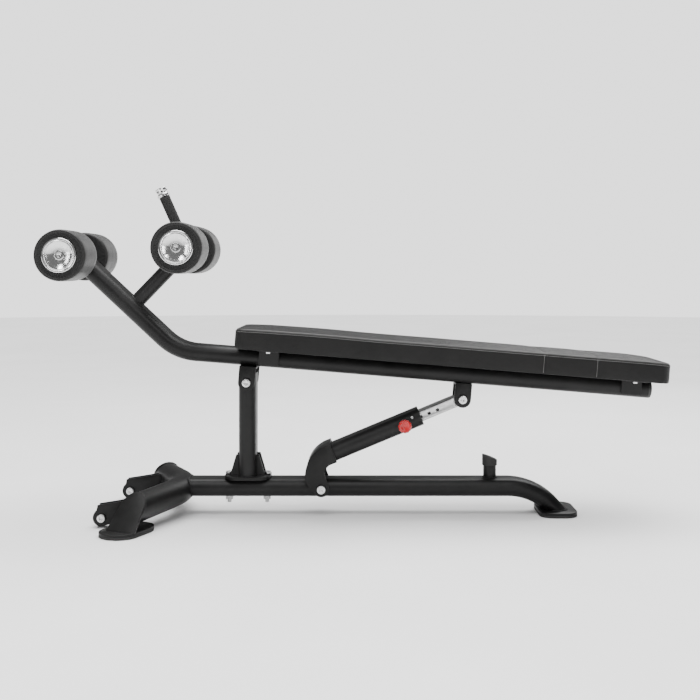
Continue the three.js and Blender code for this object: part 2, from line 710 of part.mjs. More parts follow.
function addLegFrame(group) {
  const hub = ring(axleRadius + seatGap, hubTubeRadius, -rollerSpan / 2, rollerSpan / 2);
  add(group, "foot_hub", hub.translate([footAxle.x, 0, footAxle.y]), "frame");
  add(group, "knee_hub", hub.translate([kneeAxle.x, 0, kneeAxle.y]), "frame");
  const axle = rod(axleRadius, -(axleY - 2 * discThick), axleY - 2 * discThick, 24);
  add(group, "foot_axle", axle.translate([footAxle.x, 0, footAxle.y]), "zinc");
  add(group, "knee_axle", axle.translate([kneeAxle.x, 0, kneeAxle.y]), "zinc");

  const hubOutside = rod(hubTubeRadius + seatGap, -tubeWidth, tubeWidth);
  const kneeHubOutside = hubOutside.translate([kneeAxle.x, 0, kneeAxle.y]);
  const down = new THREE.Vector2(-Math.cos(branchAngle), -Math.sin(branchAngle));
  const foot = kneeAxle.clone().addScaledVector(down, kneeAxle.distanceTo(footAxle));
  const armOutside = seatTube(seatGap);
  const pastArm = beyondArm();
  const branch = bar(branchRadius, kneeAxle, foot)
    .subtract(bar(branchRadius - branchWall, kneeAxle, foot))
    .subtract(kneeHubOutside)
    .subtract(armOutside)
    .subtract(pastArm);
  add(group, "branch_tube", branch, "frame");

  const up = new THREE.Vector2(-Math.sin(handleLean), Math.cos(handleLean));
  const onHandle = (distance) => kneeAxle.clone().addScaledVector(up, distance);
  const tubeTop = handleLength - 6;
  const tube = bar(handleRadius, kneeAxle, onHandle(tubeTop), 24)
    .subtract(bar(handleRadius - handleWall, kneeAxle, onHandle(tubeTop + 1), 24))
    .subtract(bar(branchRadius + seatGap, kneeAxle, foot))
    .subtract(kneeHubOutside);
  add(group, "handle_tube", tube, "frame");
  const gripEnd = handleLength - handleCapLength - seatGap;
  const gripBore = handleRadius + seatGap;
  const grip = bar(gripRadius, onHandle(gripStart), onHandle(gripEnd))
    .subtract(bar(gripBore, onHandle(gripStart - 1), onHandle(gripEnd + 1)));
  add(group, "handle_grip", grip, "rubber");

  const capLow = handleLength - handleCapLength;
  const neck = gripRadius - 1;
  const cap = [
    [handleRadius + seatGap, capLow],
    [handleCapRadius, capLow],
    [handleCapRadius, capLow + 8],
    [neck, capLow + 11],
    [neck, capLow + 15],
    [handleCapRadius - 1, capLow + 18],
    [handleCapRadius - 1, handleLength],
    [0, handleLength],
    [0, tubeTop + seatGap],
    [handleRadius + seatGap, tubeTop + seatGap],
    [handleRadius + seatGap, capLow],
  ];
  const stood = turned(cap).rotate([90, 0, 0]).rotate([0, -handleLean / DEG, 0]);
  add(group, "handle_cap", stood.translate([kneeAxle.x, 0, kneeAxle.y]), "aluminium");
}

// The half space under the arm's axis, which the branch tube doesn't reach into.
function beyondArm() {
  const size = 10 * tubeWidth;
  const block = new THREE.BoxGeometry(size, size, size).translate(0, 0, -size / 2).rotateY(armAngle);
  return solidOf(block.translate(footAxle.x, 0, footAxle.y));
}

function addRollers(group) {
  const inner = rollerSpan / 2 + seatGap;
  const face = axleY;
  const back = face - discRecess;
  const foam = turned([
    [coreRadius + seatGap, inner],
    [rollerRadius - rollerEdge, inner],
    [rollerRadius, inner + rollerEdge],
    [rollerRadius, face - rollerEdge],
    [rollerRadius - rollerEdge, face],
    [discRadius + seatGap, face],
    [discRadius + seatGap, back - seatGap],
    [coreRadius + seatGap, back - seatGap],
    [coreRadius + seatGap, inner],
  ]);
  // Aluminium disc with its centre boss, and the core tube that turns on the axle.
  const hub = turned([
    [axleRadius + turnGap, inner],
    [coreRadius, inner],
    [coreRadius, back],
    [discRadius, back],
    [discRadius, back + discThick - 2],
    [discRadius - 3, back + discThick],
    [0, back + discThick],
    [0, axleY - 2 * discThick + discRecess],
    [axleRadius + turnGap, axleY - 2 * discThick + discRecess],
    [axleRadius + turnGap, inner],
  ]);
  for (const [axleName, at] of [["foot", footAxle], ["knee", kneeAxle]]) {
    for (const [name, side] of sides) {
      const place = [at.x, 0, at.y];
      add(group, axleName + "_roller_foam_" + name, onSide(foam, side).translate(place), "foam");
      add(group, axleName + "_roller_hub_" + name, onSide(hub, side).translate(place), "aluminium");
    }
  }
}

// ---- Strut, in its own axes: X along it, its upper pivot at 0 ----

function addStrut(group) {
  const straight = (from, to) => {
    const ends = [new THREE.Vector3(from, 0, 0), new THREE.Vector3(to, 0, 0)];
    return bentLine(ends, 1, acrossBench);
  };
  const outerLow = -(mouthRun + outerLength);
  const tubeLine = straight(outerLow, -mouthRun);
  const pinHole = rod(pinRadius + turnGap, -tubeWidth, 0, 24).translate([-pinRun, 0, 0]);
  const outer = sweep(ovalOutline(), tubeLine, ovalOutline(-tubeWall)).subtract(pinHole);
  add(group, "strut_outer_tube", outer, "frame");

  // Plastic guide in the mouth, with a lip against the end of the tube.
  const plugGrow = -tubeWall - seatGap;
  const slot = roundedOutline(innerWidth + 2 * slideGap, innerHeight + 2 * slideGap, innerCorner);
  const guide = sweep(ovalOutline(plugGrow), straight(-mouthRun - guideDepth, -mouthRun + guideLip))
    .add(sweep(ovalOutline(), straight(-mouthRun + seatGap, -mouthRun + guideLip)))
    .subtract(sweep(slot, straight(-mouthRun - 2 * guideDepth, 0)));
  add(group, "strut_guide", guide, "plastic");

  const foot = new THREE.Vector2(-strutAlong, -strutOffset);
  const bracketEnd = outerLow - foot.x; // along the strut, from the foot pivot to the tube's end
  const bracketTop = strutOffset + tubeHeight / 2 + footPlateLip;
  const lap = 8;
  const outline = new THREE.Shape();
  outline.moveTo(bracketEnd + lap, bracketTop);
  outline.lineTo(bracketEnd, bracketTop);
  outline.quadraticCurveTo(bracketEnd - 58, bracketTop + 4, -31, 50);
  outline.quadraticCurveTo(-38, 22, -footPlateRadius * Math.cos(0.6), -footPlateRadius * Math.sin(0.6));
  outline.absarc(0, 0, footPlateRadius, Math.PI + 0.6, 2 * Math.PI, false);
  outline.lineTo(footPlateRadius + 2, 16);
  outline.quadraticCurveTo(footPlateRadius, 48, bracketEnd - 16, strutOffset - tubeHeight / 2);
  outline.lineTo(bracketEnd + lap, strutOffset - tubeHeight / 2);
  const plateInside = tubeWidth / 2 + sideGap;
  const plate = sidePlate(outline, plateInside, earThick);
  const web = new THREE.Shape();
  web.moveTo(bracketEnd + lap, bracketTop);
  web.lineTo(bracketEnd, bracketTop);
  web.quadraticCurveTo(bracketEnd - 58, bracketTop + 4, -27, 58);
  web.lineTo(-27 + webThick, 56);
  web.quadraticCurveTo(bracketEnd - 54, bracketTop - webThick, bracketEnd, bracketTop - webThick);
  web.lineTo(bracketEnd + lap, bracketTop - webThick);
  const cover = sidePlate(web, -plateInside - 1, 2 * plateInside + 2);
  const endPlate = box(
    bracketEnd - webThick, bracketEnd - seatGap, plateInside + 1,
    strutOffset - tubeHeight / 2, bracketTop - 1,
  );
  const bracket = plate
    .add(mirrored(plate))
    .add(cover)
    .add(endPlate)
    .subtract(rod(pivotBoltRadius + seatGap, -tubeWidth, tubeWidth));
  const footAt = [foot.x, 0, foot.y];
  add(group, "strut_bracket", bracket.translate(footAt), "frame");
  add(group, "strut_foot_bolt", pivotBolt(plateInside + earThick).translate(footAt), "zinc");

  const tailRun = pinRun + innerTail;
  const wallOutline = (inset) =>
    roundedOutline(innerWidth - 2 * inset, innerHeight - 2 * inset, Math.max(innerCorner - inset, 1), 3);
  const bushRadius = pivotBoltRadius + turnGap + bushWall;
  let inner = sweep(wallOutline(0), straight(-tailRun, innerEnd), wallOutline(innerWall)).subtract(
    rod(bushRadius + seatGap, -tubeWidth, tubeWidth),
  );
  for (let i = 0; i < pinPositions; i++) {
    const hole = rod(holeRadius, -tubeWidth, tubeWidth, 12);
    inner = inner.subtract(hole.translate([-(pinRun - i * holePitch), 0, 0]));
  }
  add(group, "strut_inner_tube", inner, "plated");
  const bushHalf = innerWidth / 2 + sideGap / 2;
  add(group, "strut_top_bush", ring(pivotBoltRadius + turnGap, bushRadius, -bushHalf, bushHalf), "brass");

  // Spring-loaded pull pin on the left side of the outer tube.
  const face = -tubeWidth / 2;
  const end = face - housingReach;
  const chamberRadius = housingRadius - housingWall;
  const chamberEnd = end + housingCover;
  const place = [-pinRun, 0, 0];
  const housing = rod(housingRadius, end, face + tubeHeight / 8)
    .add(rod(housingRadius + 4, face - 12, face - 4, 6))
    .subtract(rod(chamberRadius, chamberEnd, face + tubeHeight))
    .subtract(rod(pinRadius + turnGap, end - 1, face + tubeHeight))
    .translate(place)
    .subtract(sweep(ovalOutline(seatGap), tubeLine));
  add(group, "pin_housing", housing, "zinc");

  const tip = -innerWidth / 2 - 0.6;
  const knobInner = end - knobStand;
  const collarY = chamberEnd + pinTravel + springLength + 3 * seatGap;
  const pin = rod(pinRadius, knobInner - knobLength / 2, tip, 24).add(
    rod(pinCollarRadius, collarY, collarY + pinCollarThick, 24),
  );
  add(group, "pull_pin", pin.translate(place), "zinc");

  const bore = pinRadius + seatGap;
  const knob = turned([
    [0, knobInner - knobLength],
    [knobRadius - 6, knobInner - knobLength],
    [knobRadius - 1.5, knobInner - knobLength + 2],
    [knobRadius, knobInner - knobLength + 5],
    [knobRadius, knobInner - 6],
    [knobRadius - 2, knobInner - 3],
    [knobRadius - 7, knobInner],
    [bore, knobInner],
    [bore, knobInner - knobLength / 2 - seatGap],
    [0, knobInner - knobLength / 2 - seatGap],
  ]);
  add(group, "pull_knob", knob.translate(place), "red");

  const coilRadius = (pinRadius + chamberRadius) / 2;
  class Coil extends THREE.Curve {
    getPoint(t, target = new THREE.Vector3()) {
      const angle = 2 * Math.PI * springTurns * t;
      const y = collarY - seatGap - wireRadius - t * (springLength - 2 * wireRadius - seatGap);
      return target.set(coilRadius * Math.cos(angle), y, coilRadius * Math.sin(angle));
    }
  }
  const wire = new THREE.Shape(roundedOutline(2 * wireRadius, 2 * wireRadius, wireRadius, 1));
  const coil = new THREE.ExtrudeGeometry(wire, { steps: springTurns * 10, extrudePath: new Coil() });
  add(group, "pin_spring", solidOf(coil).translate(place), "zinc");
}

// ---- Assembly ----

addFrontLegs(bench);
addBaseTube(bench);
addPost(bench);
addStop(bench);
addWheels(bench);

const seat = new THREE.Group();
seat.position.set(mainPivotX, 0, mainPivotZ);
seat.rotation.y = restDecline;
bench.add(seat);
addSeatTube(seat);
addClevises(seat);
addPad(seat);
addLegFrame(seat);
addRollers(seat);

const strut = new THREE.Group();
strut.position.set(strutTop.x, 0, strutTop.y);
strut.rotation.y = -strutSlope;
bench.add(strut);
addStrut(strut);

export default bench;
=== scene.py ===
"""Adjustable decline bench with leg rollers: its looks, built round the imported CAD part.

Metres, +Z up. +X runs to the head end of the pad, and the left side is -Y.
"""

import json
import math

import bmesh
import bpy
import numpy as np
from mathutils import Matrix, Vector
from mathutils.bvhtree import BVHTree


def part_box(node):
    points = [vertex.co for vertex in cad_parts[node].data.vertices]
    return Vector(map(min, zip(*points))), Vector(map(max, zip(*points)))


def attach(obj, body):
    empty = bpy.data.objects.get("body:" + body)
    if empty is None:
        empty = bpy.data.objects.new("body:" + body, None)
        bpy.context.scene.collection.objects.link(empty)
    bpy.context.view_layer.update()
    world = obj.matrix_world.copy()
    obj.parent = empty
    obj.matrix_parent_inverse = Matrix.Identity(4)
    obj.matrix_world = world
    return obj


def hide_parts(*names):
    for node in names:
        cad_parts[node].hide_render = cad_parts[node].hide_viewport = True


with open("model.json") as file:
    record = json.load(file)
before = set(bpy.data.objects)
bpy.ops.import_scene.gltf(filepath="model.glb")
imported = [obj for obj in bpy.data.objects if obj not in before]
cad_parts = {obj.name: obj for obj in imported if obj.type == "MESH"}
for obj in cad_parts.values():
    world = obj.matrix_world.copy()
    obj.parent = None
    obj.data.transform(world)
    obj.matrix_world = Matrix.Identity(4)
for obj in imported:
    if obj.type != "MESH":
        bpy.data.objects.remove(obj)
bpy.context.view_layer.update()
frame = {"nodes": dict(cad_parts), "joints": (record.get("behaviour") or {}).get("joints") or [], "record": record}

MM = 0.001

# ---- Places, from the frame's joints ----

PIVOT = {joint["name"]: Vector(joint["pos_m"]) for joint in frame["joints"] if "pos_m" in joint}
AXIS = {joint["name"]: Vector(joint["axis"]).normalized() for joint in frame["joints"]}
SLOT = {part["node"]: part["material_slot"] for part in frame["record"]["subparts"]}
BODY = {node: body for body, nodes in frame["record"]["behaviour"]["bodies"].items() for node in nodes}
ACROSS = Vector((0, 1, 0))
UP = Vector((0, 0, 1))

MAIN = PIVOT["seat_tilt"]
STRUT_TOP = PIVOT["strut_swivel"]
FOOT_AXLE = Vector((PIVOT["foot_roller_left_spin"].x, 0, PIVOT["foot_roller_left_spin"].z))
KNEE_AXLE = Vector((PIVOT["knee_roller_left_spin"].x, 0, PIVOT["knee_roller_left_spin"].z))
SEAT_ALONG = (STRUT_TOP - MAIN).normalized()
SEAT_UP = SEAT_ALONG.cross(ACROSS)
STRUT_ALONG = AXIS["strut_slide"]
STRUT_UP = STRUT_ALONG.cross(ACROSS)


def seat_point(run, y, height):
    """A point in the seat's own axes: along its tube from the main pivot, across, and square to it."""
    return MAIN + SEAT_ALONG * run + ACROSS * y + SEAT_UP * height


def strut_point(run, y, height):
    """A point along the strut from its upper pivot, across, and square to it."""
    return STRUT_TOP + STRUT_ALONG * run + ACROSS * y + STRUT_UP * height


def middle(node):
    low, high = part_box(node)
    return (Vector(low) + Vector(high)) / 2


def size(node):
    low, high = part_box(node)
    return Vector(high) - Vector(low)


# ---- Driving dimensions ----

TUBE_WIDTH = 100 * MM  # flat oval tube
TUBE_HEIGHT = 50 * MM
TUBE_WALL = 3 * MM
BASE_AXIS_Z = 77.5 * MM
FOOT_TOP = 14.3 * MM
REAR_BEND_X = 436 * MM
REAR_BEND_RADIUS = 180 * MM
REAR_BEND = math.radians(62)
LEG_RADIUS = 39 * MM
LEG_AXIS_Z = 73 * MM
LEG_SWEEP = math.radians(24)
LEG_DROOP = math.radians(2.2)
LEG_BEND_RADIUS = 210 * MM
LEG_TOP_REACH = 221 * MM
LEG_END_SLOPE = math.radians(48.5)
CROSS_X = -513 * MM

PIVOT_DROP = 47 * MM
SEAT_AXIS = PIVOT_DROP + TUBE_HEIGHT / 2
TUBE_END_RUN = 1156 * MM
ARM_CORNER = -210.6 * MM
ARM_BEND_RADIUS = 155 * MM
ARM_OVERRUN = 34 * MM
BRANCH_RADIUS = 21.5 * MM
BRANCH_ANGLE = math.radians(50.7)
HUB_RADIUS = 22 * MM
HANDLE_LEAN = math.radians(28.6)
HANDLE_LENGTH = 194 * MM
HANDLE_RADIUS = 12.5 * MM
GRIP_RADIUS = 15.5 * MM
GRIP_START = 46 * MM
HANDLE_CAP = 27 * MM

ROLLER_RADIUS = 72 * MM
DISC_RADIUS = 48.5 * MM

PAD_START = -38 * MM
PAD_LENGTH = 1232 * MM
PAD_WIDTH = 295 * MM
PAD_LOW = 101.6 * MM
PAD_EDGE = 57 * MM  # height of the edge seam over the pad's underside
PAD_CROWN = 5 * MM
PAD_CORNER = 38 * MM
CROSS_SEAMS = (835 * MM, 984 * MM)  # from the main pivot, along the seat
VOXEL = 6 * MM
UNDER = 0.25 * MM  # how far the pad's underside lies below its seat
SWELL_CAP = 3.2 * MM  # the most that the cloth simulation moves a point

MOUTH_RUN = 133 * MM
OUTER_LENGTH = 278 * MM
BEAD = 2.6 * MM  # radius of a weld bead


# ---- Materials ----


def feed(tree, socket, value):
    """Gives a node's input a value or another node's output."""
    if isinstance(value, bpy.types.NodeSocket):
        tree.links.new(value, socket)
    else:
        socket.default_value = value


def add_node(tree, kind, inputs=None, **settings):
    node = tree.nodes.new(kind)
    for key, value in settings.items():
        setattr(node, key, value)
    for key, value in (inputs or {}).items():
        feed(tree, node.inputs[key], value)
    return node


def noise(tree, vector, scale, detail=3.0, rough=0.55):
    inputs = {"Vector": vector, "Scale": scale, "Detail": detail, "Roughness": rough}
    return add_node(tree, "ShaderNodeTexNoise", inputs).outputs["Fac"]


def spread(tree, value, low, high, start=0.3, end=0.7):
    """The value mapped from start..end to low..high."""
    inputs = {"Value": value, "From Min": start, "From Max": end, "To Min": low, "To Max": high}
    return add_node(tree, "ShaderNodeMapRange", inputs).outputs["Result"]


def blend_colour(tree, factor, first, second):
    # A mix node's colour sockets are the inputs 6 and 7 and the output 2.
    return add_node(tree, "ShaderNodeMix", {0: factor, 6: first, 7: second}, data_type="RGBA").outputs[2]


def bumps(tree, *layers):
    """Several heights, each (value, distance in metres), one bump over the other."""
    normal = None
    for value, distance in layers:
        inputs = {"Height": value, "Distance": distance, "Strength": 1.0}
        if normal:
            inputs["Normal"] = normal
        normal = add_node(tree, "ShaderNodeBump", inputs).outputs["Normal"]
    return normal


def maths(tree, operation, first, second=0.0):
    return add_node(tree, "ShaderNodeMath", {0: first, 1: second}, operation=operation).outputs[0]


def new_material(name):
    """An empty material: its tree, its surface shader and its object coordinates."""
    material = bpy.data.materials.new(name)
    material.use_nodes = True
    tree = material.node_tree
    surface = tree.nodes["Principled BSDF"]
    where = add_node(tree, "ShaderNodeTexCoord").outputs["Object"]
    return material, tree, surface, where


SOCKETS = {
    "colour": "Base Color",
    "rough": "Roughness",
    "normal": "Normal",
    "metal": "Metallic",
    "gloss": "Specular IOR Level",
    "sheen": "Sheen Weight",
    "sheen_rough": "Sheen Roughness",
    "coat": "Coat Weight",
    "stretch": "Anisotropic",
    "stretch_turn": "Anisotropic Rotation",
    "tangent": "Tangent",
}


def connect(tree, surface, **sockets):
    """Sets or links the surface shader's inputs, by their short names."""
    for key, value in sockets.items():
        feed(tree, surface.inputs[SOCKETS[key]], value)


def grey(value, warm=0.0):
    return (value * (1 + warm), value, value * (1 - warm), 1)


def worn_edges(tree, amount=1.0):
    """1 on convex edges, from the mesh's own curvature."""
    point = add_node(tree, "ShaderNodeNewGeometry").outputs["Pointiness"]
    return spread(tree, point, 0.0, amount, 0.53, 0.62)


def powder_coat(name):
    """Satin black paint with an orange-peel texture, dulled in patches and rubbed at its edges."""
    material, tree, surface, where = new_material(name)
    peel = noise(tree, where, 620, 2.0)
    patch = noise(tree, where, 9, 4.0)
    scuff = spread(tree, noise(tree, where, 55, 8.0, 0.7), 0, 1, 0.6, 0.72)
    edge = maths(tree, "MULTIPLY", worn_edges(tree, 0.6), spread(tree, patch, 0.2, 1))
    colour = blend_colour(tree, spread(tree, patch, 0, 1), grey(0.0045), grey(0.0085, 0.02))
    colour = blend_colour(tree, maths(tree, "MULTIPLY", scuff, 0.2), colour, grey(0.022))
    colour = blend_colour(tree, edge, colour, grey(0.028))
    rough = maths(tree, "ADD", spread(tree, patch, 0.36, 0.47), maths(tree, "MULTIPLY", scuff, 0.1))
    connect(tree, surface, colour=colour, rough=rough, metal=0.0)
    connect(tree, surface, normal=bumps(tree, (peel, 0.0001), (patch, 0.0008)), gloss=0.2)
    return material


def vinyl(name):
    """Leather-grained black vinyl, a little shiny where it is stretched."""
    material, tree, surface, where = new_material(name)
    cells = add_node(
        tree,
        "ShaderNodeTexVoronoi",
        {"Vector": where, "Scale": 620.0, "Randomness": 1.0},
        feature="DISTANCE_TO_EDGE",
    ).outputs["Distance"]
    grain = spread(tree, cells, 0, 1, 0.0, 0.18)
    fold = noise(tree, where, 38, 5.0, 0.6)
    patch = noise(tree, where, 6, 3.0)
    colour = blend_colour(tree, spread(tree, patch, 0, 1), grey(0.0045), grey(0.0075, 0.03))
    colour = blend_colour(tree, spread(tree, grain, 0.35, 0), colour, grey(0.003))
    rough = maths(tree, "ADD", spread(tree, fold, 0.4, 0.52), spread(tree, grain, 0.1, 0))
    connect(tree, surface, colour=colour, rough=rough)
    connect(tree, surface, normal=bumps(tree, (fold, 0.0016), (grain, 0.00012)))
    connect(tree, surface, gloss=0.21, sheen=0.05, sheen_rough=0.4)
    return material


def foam_skin(name):
    """The rollers' soft skin; its ends carry fine ribs that run out from the axle. Painted shade darkens the ends,
    and painted highlights lighten the rib crests on them.
    """
    material, tree, surface, where = new_material(name)
    parts = add_node(tree, "ShaderNodeSeparateXYZ", {"Vector": where}).outputs
    angle = maths(tree, "ARCTAN2", parts["Z"], parts["X"])
    rib = maths(tree, "SINE", maths(tree, "MULTIPLY", angle, 90.0))
    normal = add_node(tree, "ShaderNodeNewGeometry").outputs["Normal"]
    normal_y = add_node(tree, "ShaderNodeSeparateXYZ", {"Vector": normal}).outputs["Y"]
    on_end = spread(tree, maths(tree, "ABSOLUTE", normal_y), 0, 1, 0.9, 0.97)
    pores = noise(tree, where, 900, 2.0)
    dents = noise(tree, where, 26, 4.0)
    colour = blend_colour(tree, spread(tree, dents, 0, 1), grey(0.012), grey(0.02, 0.04))
    # Painted shade: the end faces are painted darker than the sides of the same foam.
    colour = blend_colour(tree, on_end, colour, grey(0.0035))
    # Painted highlight: lighter stripes on the crests of the end ribs.
    painted_rib_highlight = maths(tree, "MULTIPLY", spread(tree, rib, 0, 0.55, 0.6, 1.0), on_end)
    colour = blend_colour(tree, painted_rib_highlight, colour, grey(0.018))
    rough = maths(tree, "ADD", spread(tree, dents, 0.42, 0.56), maths(tree, "MULTIPLY", on_end, 0.12))
    connect(tree, surface, colour=colour, rough=rough)
    ribs = maths(tree, "MULTIPLY", rib, on_end)
    connect(tree, surface, normal=bumps(tree, (pores, 0.00012), (dents, 0.0016), (ribs, 0.0004)))
    connect(tree, surface, gloss=0.28, sheen=0.22, sheen_rough=0.35)
    return material


def turned_metal(name, tone, roughness):
    """Metal turned on a lathe: fine rings about the piece's own Y axis."""
    material, tree, surface, where = new_material(name)
    parts = add_node(tree, "ShaderNodeSeparateXYZ", {"Vector": where}).outputs
    flat = add_node(tree, "ShaderNodeCombineXYZ", {"X": parts["X"], "Z": parts["Z"]}).outputs["Vector"]
    radius = add_node(tree, "ShaderNodeVectorMath", {0: flat}, operation="LENGTH").outputs["Value"]
    coarse = add_node(
        tree, "ShaderNodeTexNoise", {"W": radius, "Scale": 900.0, "Detail": 3.0}, noise_dimensions="1D"
    ).outputs["Fac"]
    fine = add_node(
        tree, "ShaderNodeTexNoise", {"W": radius, "Scale": 5200.0, "Detail": 2.0}, noise_dimensions="1D"
    ).outputs["Fac"]
    smear = noise(tree, where, 45, 5.0)
    colour = blend_colour(tree, spread(tree, coarse, 0, 1), grey(tone * 0.82), grey(tone))
    colour = blend_colour(tree, spread(tree, smear, 0.25, 0), colour, grey(tone * 0.6))
    rough = maths(tree, "ADD", spread(tree, smear, roughness * 1.5, roughness), spread(tree, fine, 0, 0.06))
    connect(tree, surface, colour=colour, rough=rough, metal=1.0)
    connect(tree, surface, normal=bumps(tree, (coarse, 0.00008), (fine, 0.00002)))
    tangent = add_node(tree, "ShaderNodeTangent", direction_type="RADIAL", axis="Y").outputs["Tangent"]
    connect(tree, surface, stretch=0.75, stretch_turn=0.25, tangent=tangent)
    return material


def plain_metal(name, tone, roughness, along=(1, 1, 1), warm=0.0):
    """Plated metal, brushed along one direction where the scales differ."""
    material, tree, surface, where = new_material(name)
    stretched = add_node(tree, "ShaderNodeMapping", {"Vector": where, "Scale": along}).outputs["Vector"]
    brush = noise(tree, stretched, 400, 4.0)
    smear = noise(tree, where, 60, 5.0, 0.65)
    colour = blend_colour(tree, spread(tree, smear, 0, 1), grey(tone * 0.7, warm), grey(tone, warm))
    rough = maths(tree, "ADD", spread(tree, smear, roughness * 1.4, roughness), spread(tree, brush, 0.08, 0))
    connect(tree, surface, colour=colour, rough=rough, metal=1.0)
    connect(tree, surface, normal=bumps(tree, (brush, 0.00004), (smear, 0.0001)))
    return material


def rubbery(name, tone, roughness, scale=700, depth=0.0002):
    """Rubber or moulded plastic: fine grain, dusty patches."""
    material, tree, surface, where = new_material(name)
    grain = noise(tree, where, scale, 3.0)
    patch = noise(tree, where, 22, 5.0)
    colour = blend_colour(tree, spread(tree, patch, 0, 1), grey(tone), grey(tone * 1.7, 0.03))
    colour = blend_colour(tree, worn_edges(tree, 0.4), colour, grey(tone * 3))
    rough = spread(tree, patch, roughness, roughness + 0.12)
    connect(tree, surface, colour=colour, rough=rough)
    connect(tree, surface, normal=bumps(tree, (grain, depth), (patch, 0.0004)))
    return material


def knob_plastic(name):
    """Glossy red moulding with a slightly deeper tone in patches."""
    material, tree, surface, where = new_material(name)
    patch = noise(tree, where, 70, 4.0)
    grain = noise(tree, where, 1400, 2.0)
    colour = blend_colour(tree, spread(tree, patch, 0, 1), (0.33, 0.0, 0.002, 1), (0.5, 0.002, 0.006, 1))
    colour = blend_colour(tree, worn_edges(tree, 0.3), colour, (0.6, 0.03, 0.03, 1))
    connect(tree, surface, colour=colour, rough=spread(tree, patch, 0.22, 0.34))
    connect(tree, surface, normal=bumps(tree, (patch, 0.0002), (grain, 0.00003)), coat=0.15)
    return material


def piping_vinyl_painted_highlight(name):
    """The same vinyl stretched over a cord: smoother, and painted paler as a painted highlight along the pad's top
    edge.
    """
    material, tree, surface, where = new_material(name)
    grain = noise(tree, where, 900, 3.0)
    patch = noise(tree, where, 40, 4.0)
    # Painted highlight: the piping is painted much paler than the pad's vinyl.
    colour = blend_colour(tree, spread(tree, patch, 0, 1), grey(0.03), grey(0.07, 0.03))
    connect(tree, surface, colour=colour, rough=spread(tree, patch, 0.3, 0.42))
    connect(tree, surface, normal=bumps(tree, (patch, 0.0004), (grain, 0.0001)))
    return material


def plywood(name):
    """Plywood: growth rings on its faces and thin plies on its edges."""
    material, tree, surface, where = new_material(name)
    grain_scale = {"Vector": where, "Scale": (1.5, 14, 14)}
    stretched = add_node(tree, "ShaderNodeMapping", grain_scale).outputs["Vector"]
    rings = noise(tree, stretched, 8, 6.0, 0.65)
    pores = noise(tree, stretched, 160, 2.0)
    colour = blend_colour(tree, spread(tree, rings, 0, 1), (0.3, 0.17, 0.08, 1), (0.5, 0.33, 0.18, 1))
    connect(tree, surface, colour=colour, rough=spread(tree, pores, 0.62, 0.8))
    connect(tree, surface, normal=bumps(tree, (pores, 0.0003)))
    return material


def thread(name):
    """Waxed sewing thread, twisted; its grey is partly the thread's own and partly lightened as a painted
    highlight line along the pad's seams.
    """
    material, tree, surface, where = new_material(name)
    twist = noise(tree, where, 1600, 2.0)
    # Partly painted highlight: the thread's grey is lightened to show the light line along the pad's seams.
    colour = blend_colour(tree, spread(tree, twist, 0, 1), grey(0.13), grey(0.24, 0.03))
    connect(tree, surface, colour=colour, rough=spread(tree, twist, 0.42, 0.6))
    connect(tree, surface, normal=bumps(tree, (twist, 0.0002)))
    return material


FINISH = {
    "frame_black": powder_coat("frame_paint"),
    "rubber_black": rubbery("foot_rubber", 0.008, 0.68),
    "plastic_black": rubbery("moulded_plastic", 0.010, 0.42, 1100, 0.0001),
    "zinc_steel": plain_metal("bright_zinc", 0.74, 0.2),
    "plated_steel": plain_metal("satin_chrome", 0.6, 0.24, (0.08, 1, 1)),
    "polished_aluminium": turned_metal("turned_aluminium", 0.8, 0.07),
    "bush_bronze": plain_metal("sintered_bronze", 0.42, 0.35, warm=0.4),
    "roller_foam": foam_skin("roller_skin"),
    "pad_vinyl": vinyl("pad_vinyl"),
    "pad_board_wood": plywood("pad_plywood"),
    "knob_red": knob_plastic("knob_plastic"),
}
PAINTED_HIGHLIGHT_THREAD = thread("seam_thread")
PIPING_PAINTED_HIGHLIGHT = piping_vinyl_painted_highlight("pad_piping_vinyl")


# ---- Meshes ----


def piece(name, vertices, faces, slot, body, sharp=35, material=None, place=None):
    """A finished piece: its mesh, shading, material, body and slot."""
    mesh = bpy.data.meshes.new(name)
    mesh.from_pydata([tuple(v) for v in vertices], [], faces)
    mesh.update()
    form = bmesh.new()
    form.from_mesh(mesh)
    bmesh.ops.recalc_face_normals(form, faces=form.faces)
    form.to_mesh(mesh)
    form.free()
    return dress(name, mesh, slot, body, sharp, material, place)


def stand_in(node, mesh, sharp=35, place=None):
    """A finer piece shown instead of a CAD piece, with its slot and body."""
    made = piece(node + "_fine", *mesh, SLOT[node], BODY[node], sharp, place=place)
    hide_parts(node)
    return made


def dress(name, mesh, slot, body, sharp=35, material=None, place=None):
    for polygon in mesh.polygons:
        polygon.use_smooth = True
    mesh.set_sharp_from_angle(angle=math.radians(sharp))
    mesh.materials.clear()
    mesh.materials.append(material or FINISH[slot])
    made = bpy.data.objects.new(name, mesh)
    bpy.context.scene.collection.objects.link(made)
    if place:
        made.matrix_world = place
    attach(made, body)
    return made


def oval(width, height, steps=12):
    """Outline of a flat oval as (across, up) pairs."""
    radius = height / 2
    half = width / 2 - radius
    outline = []
    for side in (1, -1):
        for k in range(steps + 1):
            angle = -side * math.pi / 2 + math.pi * k / steps
            outline.append((side * half + radius * math.cos(angle), radius * math.sin(angle)))
    return outline


def circle(radius, steps=40):
    return [
        (radius * math.cos(2 * math.pi * k / steps), radius * math.sin(2 * math.pi * k / steps))
        for k in range(steps)
    ]


